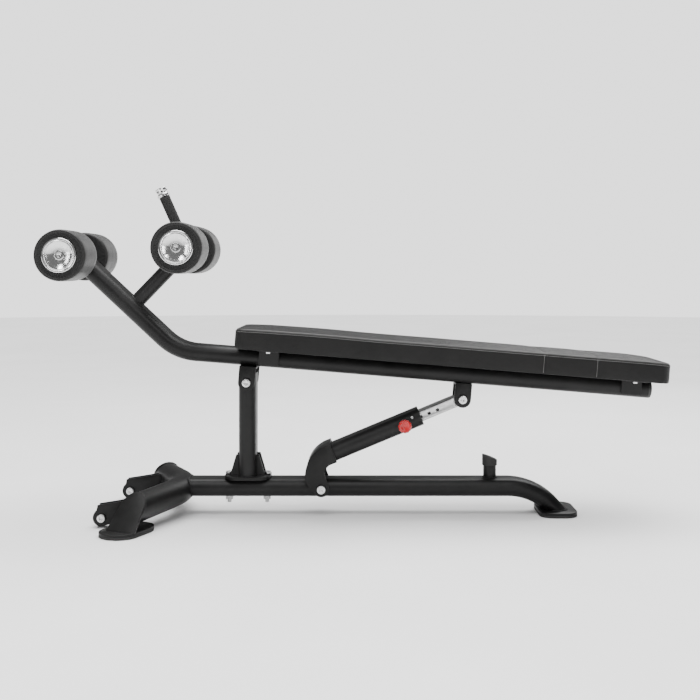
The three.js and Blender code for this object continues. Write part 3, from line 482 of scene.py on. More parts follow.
def route(corners, radius, step=math.radians(3)):
    """Stations (point, direction) along straight stretches joined by arcs."""
    along = (corners[1] - corners[0]).normalized()
    stations = [(corners[0], along)]
    for corner, after in zip(corners[1:-1], corners[2:]):
        onward = (after - corner).normalized()
        turn = along.angle(onward)
        inward = (onward - along * along.dot(onward)).normalized()
        start = corner - along * radius * math.tan(turn / 2)
        centre = start + inward * radius
        count = max(2, math.ceil(turn / step))
        for k in range(count + 1):
            angle = turn * k / count
            at = centre - inward * radius * math.cos(angle) + along * radius * math.sin(angle)
            stations.append((at, along * math.cos(angle) + inward * math.sin(angle)))
        along = onward
    stations.append((corners[-1], along))
    return stations


def ring_at(station, outline, across):
    at, along = station
    up = along.cross(across).normalized()
    return [at + across * a + up * u for a, u in outline]


def onto_plane(ring, along, point, normal):
    """The ring slid along the tube until it lies in a plane."""
    return [v + along * ((point - v).dot(normal) / along.dot(normal)) for v in ring]


def tube(stations, outline, across, bore=None, ends=(None, None)):
    """Vertices and faces of a swept tube; an end may be cut by a plane (point, normal)."""
    layers = [outline] + ([bore] if bore else [])
    vertices = []
    faces = []
    starts = []
    for layer in layers:
        starts.append(len(vertices))
        for index, station in enumerate(stations):
            ring = ring_at(station, layer, across)
            cut = ends[0] if index == 0 else ends[1] if index == len(stations) - 1 else None
            if cut:
                ring = onto_plane(ring, station[1], *cut)
            vertices += ring
    count = len(outline)
    rings = len(stations)
    for start in starts:
        for r in range(rings - 1):
            for k in range(count):
                a = start + r * count + k
                b = start + r * count + (k + 1) % count
                faces.append((a, b, b + count, a + count))
    for r in (0, rings - 1):
        first = starts[0] + r * count
        if bore:
            second = starts[1] + r * count
            for k in range(count):
                n = (k + 1) % count
                faces.append((first + k, first + n, second + n, second + k))
        else:
            faces.append(tuple(range(first, first + count)))
    return vertices, faces


def turned(profile, sides=72, ribs=0, rib_depth=0.0):
    """A solid of revolution about Y. The profile lists (radius, y) or (radius, y, "hex" or "rib")."""
    vertices = []
    faces = []
    for radius, y, *kind in profile:
        for k in range(sides):
            angle = 2 * math.pi * k / sides
            r = radius
            if "hex" in kind:
                r = radius / math.cos((angle + math.pi / 6) % (math.pi / 3) - math.pi / 6)
            elif "rib" in kind:
                r = radius * (1 - rib_depth * (1 - abs(math.cos(ribs * angle / 2))))
            vertices.append(Vector((r * math.cos(angle), y, r * math.sin(angle))))
    rings = len(profile)
    closed = profile[0][:2] == profile[-1][:2]
    for i in range(rings - 1):
        for k in range(sides):
            n = (k + 1) % sides
            faces.append((i * sides + k, i * sides + n, (i + 1) * sides + n, (i + 1) * sides + k))
    if closed:
        vertices = vertices[: (rings - 1) * sides]
        faces = [tuple(index % len(vertices) for index in face) for face in faces]
    else:
        faces.append(tuple(range(sides)))
        faces.append(tuple(range((rings - 1) * sides, rings * sides)))
    return vertices, faces


def steps_from(radius, y, *steps):
    """Points of a profile, given in millimetres out from a radius and along from a height."""
    return [(radius + out * MM, y + along * MM, *kind) for out, along, *kind in steps]


def facing(at, direction):
    """Puts a turned piece at a point with its Y axis along a direction."""
    return Matrix.Translation(at) @ Vector((0, 1, 0)).rotation_difference(direction).to_matrix().to_4x4()


def corded(points, radius, closed=True, sides=10, ripple=0.0, ripple_count=0):
    """A round cord along points, with an optional ripple in its thickness."""
    count = len(points)
    vertices = []
    faces = []
    tangents = []
    for i, point in enumerate(points):
        before = points[(i - 1) % count] if closed or i else point
        after = points[(i + 1) % count] if closed or i < count - 1 else point
        tangents.append((after - before).normalized())
    side = tangents[0].orthogonal().normalized()
    for i, (point, tangent) in enumerate(zip(points, tangents)):
        side = (side - tangent * side.dot(tangent)).normalized()
        other = tangent.cross(side)
        r = radius * (1 + ripple * math.sin(2 * math.pi * ripple_count * i / count))
        for k in range(sides):
            angle = 2 * math.pi * k / sides
            vertices.append(point + side * r * math.cos(angle) + other * r * math.sin(angle))
    last = count if closed else count - 1
    twist = 0
    if closed:
        final = (side - tangents[0] * side.dot(tangents[0])).normalized()
        start = (vertices[0] - points[0]).normalized()
        turn = math.atan2(tangents[0].dot(start.cross(final)), start.dot(final))
        twist = round(turn / (2 * math.pi) * sides)
    for i in range(last):
        shift = twist if closed and i == count - 1 else 0
        for k in range(sides):
            n = (k + 1) % sides
            a, b = i * sides + k, i * sides + n
            j = ((i + 1) % count) * sides
            faces.append((a, b, j + (n + shift) % sides, j + (k + shift) % sides))
    if not closed:
        faces.append(tuple(range(sides)))
        faces.append(tuple(range((count - 1) * sides, count * sides)))
    return vertices, faces


def joined(parts):
    """Several (vertices, faces) as one."""
    vertices = []
    faces = []
    for some_vertices, some_faces in parts:
        base = len(vertices)
        vertices += list(some_vertices)
        faces += [tuple(base + i for i in face) for face in some_faces]
    return vertices, faces


def weld(name, body, *loops, radius=BEAD, closed=True):
    """Weld beads along loops of points, painted with the frame."""
    parts = []
    for points in loops:
        length = sum((a - b).length for a, b in zip(points, points[1:]))
        parts.append(corded(points, radius, closed, 8, 0.12, max(4, round(length / (3.2 * MM)))))
    return piece(name, *joined(parts), "frame_black", body, sharp=80)


def dense(loop, spacing=0.8 * MM):
    """A closed loop with points at an even spacing."""
    points = []
    for a, b in zip(loop, loop[1:] + loop[:1]):
        count = max(1, round((b - a).length / spacing))
        points += [a.lerp(b, k / count) for k in range(count)]
    return points


def refined(node, bevel):
    """A CAD piece with its facets merged and its edges rounded."""
    source = frame["nodes"][node]
    form = bmesh.new()
    form.from_mesh(source.data)
    bmesh.ops.remove_doubles(form, verts=form.verts, dist=2e-6)
    bmesh.ops.dissolve_limit(form, angle_limit=math.radians(0.6), verts=form.verts, edges=form.edges)
    if bevel:
        bent = math.radians(35)
        edges = [e for e in form.edges if len(e.link_faces) == 2 and e.calc_face_angle() > bent]
        bmesh.ops.bevel(
            form, geom=edges, offset=bevel, segments=2, profile=0.5, affect="EDGES", clamp_overlap=True
        )
    bmesh.ops.triangulate(form, faces=[f for f in form.faces if len(f.verts) > 4])
    mesh = bpy.data.meshes.new(node + "_finished")
    form.to_mesh(mesh)
    form.free()
    made = dress(node + "_finished", mesh, SLOT[node], BODY[node], 40)
    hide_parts(node)


# ---- Base frame ----


def leg_line():
    """Corner and end of a front leg's axis, and the plane of its end: a point and its normal."""
    level = Vector((-math.sin(LEG_SWEEP), math.cos(LEG_SWEEP), 0))
    corner = Vector((CROSS_X + LEG_BEND_RADIUS * (1 / math.cos(LEG_SWEEP) - 1), 0, LEG_AXIS_Z))
    run = LEG_TOP_REACH / level.y
    top = corner + level * run
    top.z = LEG_AXIS_Z - run * math.tan(LEG_DROOP) + LEG_RADIUS / math.cos(LEG_DROOP)
    end = corner + (level - UP * math.tan(LEG_DROOP)) * run
    slope = level * math.sin(LEG_END_SLOPE) + UP * math.cos(LEG_END_SLOPE)
    return corner, end, top, slope


def flipped(vector):
    return Vector((vector.x, -vector.y, vector.z))


def base_frame():
    corner, end, top, slope = leg_line()
    square = Vector((math.tan(LEG_DROOP), 0, -math.sin(LEG_SWEEP))).normalized()
    stations = route([flipped(end), corner, end], LEG_BEND_RADIUS)
    cuts = ((flipped(top), flipped(slope)), (top, slope))
    stand_in("front_cross_tube", tube(stations, circle(LEG_RADIUS, 64), square, ends=cuts))

    tangent = REAR_BEND_RADIUS * math.tan(REAR_BEND / 2)
    bend = Vector((REAR_BEND_X + tangent, 0, BASE_AXIS_Z))
    down = Vector((math.cos(REAR_BEND), 0, -math.sin(REAR_BEND)))
    rear = bend + down * (tangent + 5 * MM)
    line = route([Vector((CROSS_X, 0, BASE_AXIS_Z)), bend, rear], REAR_BEND_RADIUS)
    floor_cut = (Vector((0, 0, FOOT_TOP)), UP)
    line = [s for s in line[:-1] if s[0].z > FOOT_TOP + 0.012] + [line[-1]]
    stand_in("base_tube", tube(line, oval(TUBE_WIDTH, TUBE_HEIGHT), ACROSS, ends=(None, floor_cut)))

    # Weld beads: base tube to cross tube, tube to rear foot, post to flange, stop post, leg ends.
    onto_cross = []
    fine_oval = oval(TUBE_WIDTH, TUBE_HEIGHT, 20)
    for y, z in fine_oval:
        height = min(abs(z + BASE_AXIS_Z - LEG_AXIS_Z), LEG_RADIUS)
        x = CROSS_X - y * y / (2 * LEG_BEND_RADIUS) + math.sqrt(LEG_RADIUS**2 - height**2)
        onto_cross.append(Vector((x, y, z + BASE_AXIS_Z)))
    foot_ring = onto_plane(ring_at(line[-1], fine_oval, ACROSS), line[-1][1], *floor_cut)
    low, high = (corner[2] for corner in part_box("upright_post"))
    post_ring = [Vector((MAIN.x + b, a, low)) for a, b in fine_oval]
    stop = middle("stop_post")
    stop_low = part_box("stop_post")[0][2]
    stop_radius = size("stop_post").y / 2
    stop_ring = [Vector((stop.x + a, b, stop_low)) for a, b in circle(stop_radius, 48)]
    weld("base_welds", "base", *[dense(loop) for loop in (onto_cross, foot_ring, post_ring, stop_ring)])
    right = onto_plane(ring_at(stations[-1], circle(LEG_RADIUS, 64), square), stations[-1][1], top, slope)
    left = [flipped(v) for v in right]
    weld("leg_end_welds", "base", dense(right), dense(left), radius=2 * MM)

    turned_oval = [(b, a) for a, b in oval(TUBE_WIDTH, TUBE_HEIGHT)]
    turned_bore = [(b, a) for a, b in oval(TUBE_WIDTH - 2 * TUBE_WALL, TUBE_HEIGHT - 2 * TUBE_WALL)]
    post_line = [(Vector((MAIN.x, 0, z)), UP) for z in (low, high - 1.5 * MM, high)]
    stand_in("upright_post", tube(post_line, turned_oval, Vector((1, 0, 0)), turned_bore))


def round_bolt(name, at, direction, body, radius, thick, stem, rim):
    """A button head with a hexagon socket, on a thin washer."""
    washer = radius + rim
    profile = [
        (radius * 0.5, -stem),
        (radius * 0.5, 0),
        (washer, 0),
        (washer, 1.2 * MM),
        (washer - 0.4 * MM, 1.6 * MM),
        (radius, 1.6 * MM),
    ]
    # The head above its washer, as shares of its radius and thickness.
    for share, height in ((1, 0.55), (0.93, 0.82), (0.8, 0.96), (0.66, 1)):
        profile.append((radius * share, thick * height))
    profile += [
        (radius * 0.48, thick, "hex"),
        (radius * 0.46, thick - 0.5 * MM, "hex"),
        (radius * 0.46, thick * 0.45, "hex"),
        (radius * 0.1, thick * 0.35),
    ]
    return piece(name, *turned(profile, 48), "zinc_steel", body, 30, place=facing(at, direction))


def hex_bolt(name, at, direction, body, across_flats, thick):
    """A hexagon head with a chamfered top and a washer under it."""
    half = across_flats / 2
    profile = [
        (half * 0.6, 0),
        (half * 1.35, 0),
        (half * 1.35, 1.4 * MM),
        (half, 1.5 * MM, "hex"),
        (half, thick - 1.2 * MM, "hex"),
        (half * 0.97, thick),
        (half * 0.2, thick),
    ]
    return piece(name, *turned(profile, 48), "zinc_steel", body, 30, place=facing(at, direction))


def bolts():
    """Pivot, wheel and flange bolts, with rounded edges."""
    for node in (
        "main_pivot_bolt",
        "strut_top_bolt",
        "strut_foot_bolt",
        "wheel_bolt_left",
        "wheel_bolt_right",
        "flange_bolt_front",
        "flange_bolt_rear",
    ):
        refined(node, 0.6 * MM)


def wheels():
    """Transport wheels: a solid tread with a groove either side of a stepped hub."""
    for node in ("transport_wheel_left", "transport_wheel_right"):
        radius = size(node).x / 2
        half = size(node).y / 2
        hub = steps_from(5.4 * MM, half, (0, 0), (5, 0), (5.6, -0.6), (6.2, -2.2))
        tread = steps_from(
            radius, half, (-6.5, -2.2), (-5.6, -0.4), (-4.8, 0), (-2.4, 0), (-0.7, -0.9), (0, -2.8)
        )
        right_half = hub + tread
        profile = right_half + [(r, -y) for r, y in reversed(right_half)] + [right_half[0]]
        stand_in(node, turned(profile), 30, Matrix.Translation(middle(node)))


def stop_cap():
    """Rubber cap on the stop post, its top sloping like the seat tube at its lowest."""
    refined("stop_cap", 2.2 * MM)


# ---- Seat frame ----

AROUND = [2 * math.pi * k / 64 for k in range(64)]  # angles round a weld


def end_cap(name, at, along):
    """Moulded end cap: a rim, then a domed face."""
    rings = [(0.0, 0.0), (0.0, 5.5), (0.6, 7.5), (2.2, 9.2), (5.0, 10.0), (9.0, 10.3)]
    vertices = []
    outline_size = len(oval(TUBE_WIDTH, TUBE_HEIGHT))
    for inset, out in rings:
        outline = oval(TUBE_WIDTH - 2 * inset * MM, TUBE_HEIGHT - 2 * inset * MM)
        vertices += ring_at((at + along * out * MM, along), outline, ACROSS)
    faces = [tuple(range(outline_size))]
    for r in range(len(rings) - 1):
        for k in range(outline_size):
            a, b = r * outline_size + k, r * outline_size + (k + 1) % outline_size
            faces.append((a, b, b + outline_size, a + outline_size))
    faces.append(tuple(range((len(rings) - 1) * outline_size, len(rings) * outline_size)))
    stand_in(name, (vertices, faces), 50)


def seat_frame():
    """The seat tube with its arm, the end caps, and what the arm carries."""
    corner = seat_point(ARM_CORNER, 0, SEAT_AXIS)
    arm = (FOOT_AXLE - corner).normalized()
    arm_end = FOOT_AXLE + arm * ARM_OVERRUN
    tail = seat_point(TUBE_END_RUN, 0, SEAT_AXIS)
    line = route([arm_end, corner, tail], ARM_BEND_RADIUS)
    stand_in("seat_tube", tube(line, oval(TUBE_WIDTH, TUBE_HEIGHT), ACROSS))
    end_cap("seat_tube_cap", tail, SEAT_ALONG)
    end_cap("arm_cap", arm_end, arm)
    handle_up = SEAT_UP * math.cos(HANDLE_LEAN) - SEAT_ALONG * math.sin(HANDLE_LEAN)
    branch(arm, handle_up)
    hubs()
    handle(facing(KNEE_AXLE, handle_up))


def branch(arm, handle_up):
    """The tube from the arm up to the knee rollers' hub, and the welds at the hub."""
    down = -SEAT_ALONG * math.cos(BRANCH_ANGLE) - SEAT_UP * math.sin(BRANCH_ANGLE)
    arm_top = arm.cross(ACROSS)
    if arm_top.z < 0:
        arm_top = -arm_top
    top_point = FOOT_AXLE + arm_top * (TUBE_HEIGHT / 2)
    reach = (top_point - KNEE_AXLE).dot(arm_top) / down.dot(arm_top)
    foot = KNEE_AXLE + down * (reach + 6 * MM)
    stand_in("branch_tube", tube([(KNEE_AXLE, down), (foot, down)], circle(BRANCH_RADIUS, 56), ACROSS))

    def around_hub(along, radius):
        """Where a round tube leaves the hub, as rays from the knee axle and their ends."""
        lateral = along.cross(ACROSS)
        for angle in AROUND:
            off_centre = math.sin(angle) * radius
            start = KNEE_AXLE + ACROSS * math.cos(angle) * radius + lateral * off_centre
            yield start, start + along * math.sqrt(HUB_RADIUS**2 - off_centre**2)

    at_hub = list(around_hub(down, BRANCH_RADIUS))
    at_arm = [start + down * ((top_point - start).dot(arm_top) / down.dot(arm_top)) for start, _ in at_hub]
    at_handle = [end for _, end in around_hub(handle_up, HANDLE_RADIUS)]
    weld("branch_welds", "seat", dense(at_arm), dense([end for _, end in at_hub]), dense(at_handle))


def hubs():
    """The tubes that hold the rollers' axles, welded to the arm."""
    for name, axle in (("foot_hub", FOOT_AXLE), ("knee_hub", KNEE_AXLE)):
        half = size(name).y / 2
        bore = 12.8 * MM
        edge = 0.8 * MM
        profile = [
            (bore, -half),
            (HUB_RADIUS - edge, -half),
            (HUB_RADIUS, -half + edge),
            (HUB_RADIUS, half - edge),
            (HUB_RADIUS - edge, half),
            (bore, half),
            (bore, -half),
        ]
        stand_in(name, turned(profile), 50, Matrix.Translation(axle))
    loops = []
    for y in (-TUBE_WIDTH / 2, TUBE_WIDTH / 2):
        rim = [Vector((math.cos(a) * HUB_RADIUS, y, math.sin(a) * HUB_RADIUS)) for a in AROUND]
        loops.append(dense([FOOT_AXLE + point for point in rim]))
    weld("hub_welds", "seat", *loops)


def handle(place):
    """Handle: tube, ribbed grip and bright cap."""
    tube_ends = [(HANDLE_RADIUS, 10 * MM), (HANDLE_RADIUS, HANDLE_LENGTH - 8 * MM)]
    stand_in("handle_tube", turned(tube_ends, 48), place=place)

    inside = HANDLE_RADIUS + 0.3 * MM
    grip_end = HANDLE_LENGTH - HANDLE_CAP - 0.3 * MM
    grip = [(inside, GRIP_START)] + steps_from(GRIP_RADIUS, GRIP_START, (-1, 0), (0, 0.8), (0, 8))
    at = GRIP_START + 8 * MM
    pitch = 4 * MM
    while at + pitch < grip_end - 8 * MM:
        grip += steps_from(GRIP_RADIUS, at, (0, 2.2), (-0.7, 2.7), (-0.7, 3.5), (0, 4))
        at += pitch
    grip += steps_from(GRIP_RADIUS, grip_end, (0, -0.8), (-1, 0))
    grip += [(inside, grip_end), grip[0]]
    stand_in("handle_grip", turned(grip, 48), 40, place)

    low = HANDLE_LENGTH - HANDLE_CAP
    cap = [(inside, low)]
    cap += steps_from(0, low, (16.8, 0), (18, 1.2), (18, 6.8), (16.8, 8), (15.2, 10.2), (14.5, 11.2))
    cap += steps_from(0, low, (14.5, 14.5), (15.4, 16), (16.4, 17.6), (17, 19))
    cap += steps_from(0, HANDLE_LENGTH, (17, -2), (16.2, -0.6), (14.6, 0), (8, 0), (7, -1), (1, -1.2))
    stand_in("handle_cap", turned(cap, 64), 28, place)


def foam_profile(half):
    """Section of a roller's foam: rounded inner end, then a rolled lip round the disc's seat."""
    lip = DISC_RADIUS + 0.6 * MM
    bore = 19.3 * MM
    profile = [(bore, -half)]
    profile += steps_from(ROLLER_RADIUS, -half, (-9, 0), (-4.5, 1.2), (-1.4, 4.2), (-0.3, 9), (0, 30))
    profile += [(ROLLER_RADIUS, 0)]
    profile += steps_from(ROLLER_RADIUS, half, (0, -30), (-0.3, -9), (-1.2, -3.6), (-3.4, -0.8))
    profile += steps_from(ROLLER_RADIUS, half, (-5.5, 0), (-7.5, -0.9), (-8.6, -1.9))
    profile += steps_from(lip, half, (3, -1.4), (0.8, -0.6), (0, -1.6), (0, -3.2))
    return profile + [(bore, half - 3.2 * MM), (bore, -half)]


def disc_profile(half):
    """Section of a disc: core tube, rolled rim, dish, and a boss with a centre hole."""
    back = half - 3.0 * MM
    core = 12.9 * MM
    profile = [(core, -half), (19 * MM, -half), (19 * MM, back)]
    profile += steps_from(DISC_RADIUS, back, (-0.6, 0), (0, 0.6), (0, 5.6), (-0.8, 7), (-2.4, 8), (-5.2, 8))
    profile += steps_from(DISC_RADIUS, back, (-6, 7.2), (-7.2, 6.9), (-8.6, 7.4), (-10, 7.4))
    profile += steps_from(0, back, (36, 6.4), (32, 5), (27, 3.6), (22, 2.7), (17, 2.2), (13.4, 2.1))
    profile += steps_from(0, back, (12.6, 3.6), (10.8, 3.8), (10, 3.8), (6.6, 3.6), (6, 2.6))
    profile += steps_from(0, back, (4.2, 1.2), (0.8, 0.8), (0.8, -5), (12.9, -5))
    return profile + [(core, -half)]


def rollers():
    """Foam rollers with a rounded lip, and turned aluminium discs set into their outer ends."""
    for axle in ("foot", "knee"):
        for side, sign in (("left", -1), ("right", 1)):
            foam = f"{axle}_roller_foam_{side}"
            half = size(foam).y / 2
            outward = facing(middle(foam), Vector((0, sign, 0)))
            made = stand_in(foam, turned(foam_profile(half), 96), 50, outward)
            stand_in(f"{axle}_roller_hub_{side}", turned(disc_profile(half), 96), 24, outward)


# ---- Strut ----


def strut():
    low = strut_point(-(MOUTH_RUN + OUTER_LENGTH), 0, 0)
    high = strut_point(-MOUTH_RUN, 0, 0)
    line = [(low, STRUT_ALONG), (high - STRUT_ALONG * 1.2 * MM, STRUT_ALONG), (high, STRUT_ALONG)]
    inner = oval(TUBE_WIDTH - 2 * TUBE_WALL, TUBE_HEIGHT - 2 * TUBE_WALL)
    stand_in("strut_outer_tube", tube(line, oval(TUBE_WIDTH, TUBE_HEIGHT), ACROSS, inner))
    ring = ring_at((low, STRUT_ALONG), oval(TUBE_WIDTH, TUBE_HEIGHT, 20), ACROSS)
    weld("strut_welds", "strut_outer", dense(ring), radius=2.2 * MM)

    # Small set screw near the mouth of the outer tube, on both sides.
    for name, side in (("left", -1), ("right", 1)):
        at = strut_point(-(MOUTH_RUN + 22 * MM), side * (TUBE_WIDTH / 2 - 2.4 * MM), 10 * MM)
        outward = (ACROSS * side + STRUT_UP * 0.45).normalized()
        screw = (3.4 * MM, 3.4 * MM, 4 * MM, 0.6 * MM)
        round_bolt("strut_set_screw_" + name, at, outward, "strut_outer", *screw)


def knob():
    """Red knob with shallow finger ribs, hollow up to its pin."""
    low_y, high_y = (corner[1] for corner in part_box("pull_knob"))
    length = high_y - low_y
    radius = size("pull_knob").x / 2
    at = middle("pull_knob")
    at.y = high_y
    hole = 4.8 * MM
    hole_end = length / 2 + 0.4 * MM
    ribbed = steps_from(radius, 0, (-3, 2), (-0.8, 4.6), (0, 7.5))
    ribbed += steps_from(radius, length, (0, -5), (-0.8, -2.8))
    profile = [(hole, 0), (radius - 7 * MM, 0)] + [(r, y, "rib") for r, y in ribbed]
    profile += steps_from(radius, length, (-2.8, -1), (-5.5, 0), (-8.5, -0.4), (-9.5, -1.2))
    profile += [(1 * MM, length - 1.4 * MM), (1 * MM, hole_end), (hole, hole_end), (hole, 0)]
    stand_in("pull_knob", turned(profile, 144, 12, 0.07), 40, facing(at, -ACROSS))


# ---- Pad ----


def rounded_rectangle(length, width, radius, spacing=6 * MM):
    """Closed outline (x, y) about the middle, with points at an even spacing."""
    outline = []
    for corner in range(4):
        cx = (length / 2 - radius) * (1 if corner in (0, 3) else -1)
        cy = (width / 2 - radius) * (1 if corner < 2 else -1)
        steps = max(6, round(radius * math.pi / 2 / spacing))
        for k in range(steps + 1):
            angle = (corner + k / steps) * math.pi / 2
            outline.append(Vector((cx + radius * math.cos(angle), cy + radius * math.sin(angle))))
    points = []
    for a, b in zip(outline, outline[1:] + outline[:1]):
        count = max(1, round((b - a).length / spacing))
        points += [a.lerp(b, k / count) for k in range(count)]
    return points


PAD_MIDDLE = PAD_START + PAD_LENGTH / 2


def pad_edge(x):
    """Height of the edge seam along the pad: drawn down a little at the ends, with a slow wave."""
    run = x / PAD_LENGTH
    wave = 1.1 * MM * math.sin(17 * run + 0.6) * math.exp(-((run + 0.3) ** 2) / 0.03)
    droop = 2.5 * MM * max(0.0, (abs(run) - 0.42) / 0.08) ** 2
    return PAD_EDGE + wave - droop


def pad_crown(x, y):
    across = 1 - abs(2 * y / PAD_WIDTH) ** 2.6
    end = PAD_LENGTH / 2 - abs(x)
    along = 1 - max(0.0, 1 - end / (110 * MM)) ** 2
    return PAD_CROWN * max(0.0, across) * max(0.0, along)


def pad_block():
    """The pad's plain form in its own axes, remeshed to even cells and crowned."""
    outline = rounded_rectangle(PAD_LENGTH - 2 * MM, PAD_WIDTH - 2 * MM, PAD_CORNER)
    count = len(outline)
    vertices = [(p.x, p.y, 0) for p in outline] + [(p.x, p.y, PAD_EDGE) for p in outline]
    faces = [tuple(reversed(range(count))), tuple(range(count, 2 * count))]
    faces += [(k, (k + 1) % count, (k + 1) % count + count, k + count) for k in range(count)]
    mesh = bpy.data.meshes.new("pad_block")
    mesh.from_pydata(vertices, [], faces)
    block = bpy.data.objects.new("pad_block", mesh)
    bpy.context.scene.collection.objects.link(block)
    remesh = block.modifiers.new("cells", "REMESH")
    remesh.mode = "VOXEL"
    remesh.voxel_size = VOXEL
    shaped = bpy.data.meshes.new_from_object(block.evaluated_get(bpy.context.evaluated_depsgraph_get()))
    block.modifiers.clear()
    block.data = shaped
    for vertex in shaped.vertices:
        x, y, z = vertex.co
        part = max(0.0, min(1.0, z / PAD_EDGE))
        vertex.co.z = part * pad_edge(x) + part**3 * pad_crown(x, y) - UNDER
    return block


def seam_distance(co):
    """How far each point is from the nearest seam, and which points lie on the pad's underside."""
    x, y, z = co[:, 0], co[:, 1], co[:, 2]
    inset = np.minimum(PAD_LENGTH / 2 - np.abs(x), PAD_WIDTH / 2 - np.abs(y))
    corner_x = np.maximum(np.abs(x) - (PAD_LENGTH / 2 - PAD_CORNER), 0)
    corner_y = np.maximum(np.abs(y) - (PAD_WIDTH / 2 - PAD_CORNER), 0)
    in_corner = (corner_x > 0) & (corner_y > 0)
    inset = np.where(in_corner, PAD_CORNER - np.hypot(corner_x, corner_y), inset)
    edge = np.array([pad_edge(value) for value in x])
    to_edge = np.hypot(inset, z - edge)
    to_cross = np.min([np.abs(x - (seam - PAD_MIDDLE)) for seam in CROSS_SEAMS], axis=0)
    return np.minimum(to_edge, to_cross), z < 4 * MM


def swell(block):
    """Cloth under pressure, held along its seams and its underside; no point moves past SWELL_CAP."""
    count = len(block.data.vertices)
    rest = np.zeros(count * 3)
    block.data.vertices.foreach_get("co", rest)
    rest = rest.reshape(-1, 3)
    distance, under = seam_distance(rest)
    held = block.vertex_groups.new(name="held")
    held.add([int(i) for i in np.nonzero((distance < 4 * MM) | under)[0]], 1.0, "REPLACE")
    cloth = block.modifiers.new("cloth", "CLOTH")
    settings = cloth.settings
    settings.quality = 6
    settings.mass = 0.25
    settings.use_pressure = True
    settings.uniform_pressure_force = 4.0
    settings.tension_stiffness = 18
    settings.compression_stiffness = 18
    settings.bending_stiffness = 2.5
    settings.effector_weights.gravity = 0
    settings.vertex_group_mass = "held"
    cloth.collision_settings.use_collision = False
    cloth.collision_settings.use_self_collision = False
    scene = bpy.context.scene
    for step in range(1, 21):
        scene.frame_set(step)
    result = block.evaluated_get(bpy.context.evaluated_depsgraph_get()).to_mesh()
    moved = np.zeros(count * 3)
    result.vertices.foreach_get("co", moved)
    shift = moved.reshape(-1, 3) - rest
    length = np.linalg.norm(shift, axis=1)
    largest = length.max()
    if largest > 0:
        wanted = SWELL_CAP * np.tanh(length / SWELL_CAP * min(1.0, 2.5 * SWELL_CAP / largest))
        shift *= (wanted / np.maximum(length, 1e-9))[:, None]
    block.modifiers.clear()
    block.vertex_groups.clear()
    scene.frame_set(1)
    block.data.vertices.foreach_set("co", (rest + shift).ravel())


def pull_seams(block):
    """Draws the skin in along the cross seams, and in folds beside them."""
    rng = np.random.default_rng(7)
    phases = rng.uniform(0, 2 * math.pi, 4)
    for vertex in block.data.vertices:
        x, y, z = vertex.co
        if z < 3 * MM:
            continue
        for index, seam in enumerate(CROSS_SEAMS):
            gap = abs(x - (seam - PAD_MIDDLE))
            pull = 1.6 * MM * math.exp(-((gap / (5 * MM)) ** 2))
            fold = 0.35 * MM * math.sin(y / (11 * MM) + phases[index]) * math.exp(-((gap / (18 * MM)) ** 2))
            vertex.co -= vertex.normal * (pull + fold)


def stitch(at, along, normal, length=3.8 * MM):
    """One stitch: a short thread, bowed a little and sunk at its ends."""
    points = []
    for k in range(5):
        t = k / 4 - 0.5
        bow = (1 - 4 * t * t) * 0.5 * MM
        points.append(at + along * length * t + normal * (bow - 0.12 * MM))
    return corded(points, 0.5 * MM, closed=False, sides=6)


def surface_at(skin, start, direction):
    """Where a ray meets the pad's skin, and the skin's normal there, or a pair of None."""
    return skin.ray_cast(start, direction)[:2]


def pad():
    block = pad_block()
    swell(block)
    block.data.update()
    pull_seams(block)
    smooth = block.modifiers.new("fine", "SUBSURF")
    smooth.levels = 1
    smooth.render_levels = 1
    mesh = bpy.data.meshes.new_from_object(block.evaluated_get(bpy.context.evaluated_depsgraph_get()))
    axes = Matrix((SEAT_ALONG, ACROSS, SEAT_UP)).transposed().to_4x4()
    to_seat = Matrix.Translation(seat_point(PAD_MIDDLE, 0, PAD_LOW)) @ axes
    bpy.data.objects.remove(block)
    cushion = dress("pad_cushion", mesh, "pad_vinyl", "seat", 180, place=to_seat)
    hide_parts("pad")
    faces = [tuple(p.vertices) for p in mesh.polygons]
    skin = BVHTree.FromPolygons([v.co.copy() for v in mesh.vertices], faces)

    threads = edge_trim(skin, to_seat) + cross_seams(skin, to_seat)
    piece("pad_stitches", *joined(threads), "pad_vinyl", "seat", 80, material=PAINTED_HIGHLIGHT_THREAD, place=to_seat)
    pad_bolts()


def edge_trim(skin, to_seat):
    """Piping round the top edge; returns a line of stitches for the side band under it."""
    outline = rounded_rectangle(PAD_LENGTH, PAD_WIDTH, PAD_CORNER, 4 * MM)
    piping = []
    under = []
    for k, point in enumerate(outline):
        after = outline[(k + 1) % len(outline)]
        along = Vector((after.x - point.x, after.y - point.y, 0)).normalized()
        out = along.cross(UP)
        for height, inset, line in ((-0.6 * MM, 0.5 * MM, piping), (-6 * MM, 0.0, under)):
            at = Vector((point.x, point.y, pad_edge(point.x) + height))
            hit, normal = surface_at(skin, at + out * 20 * MM, -out)
            if hit is None:
                hit, normal = at, out
            line.append((hit - out * inset, along, normal))
    cord = corded([at for at, _, _ in piping], 2 * MM, sides=12)
    piece("pad_piping", *cord, "pad_vinyl", "seat", 80, material=PIPING_PAINTED_HIGHLIGHT, place=to_seat)
    threads = []
    for at, along, normal in under[::3]:
        for step in (2 * MM, 8 * MM):
            threads.append(stitch(at + along * step + normal * 0.3 * MM, along, normal))
    return threads


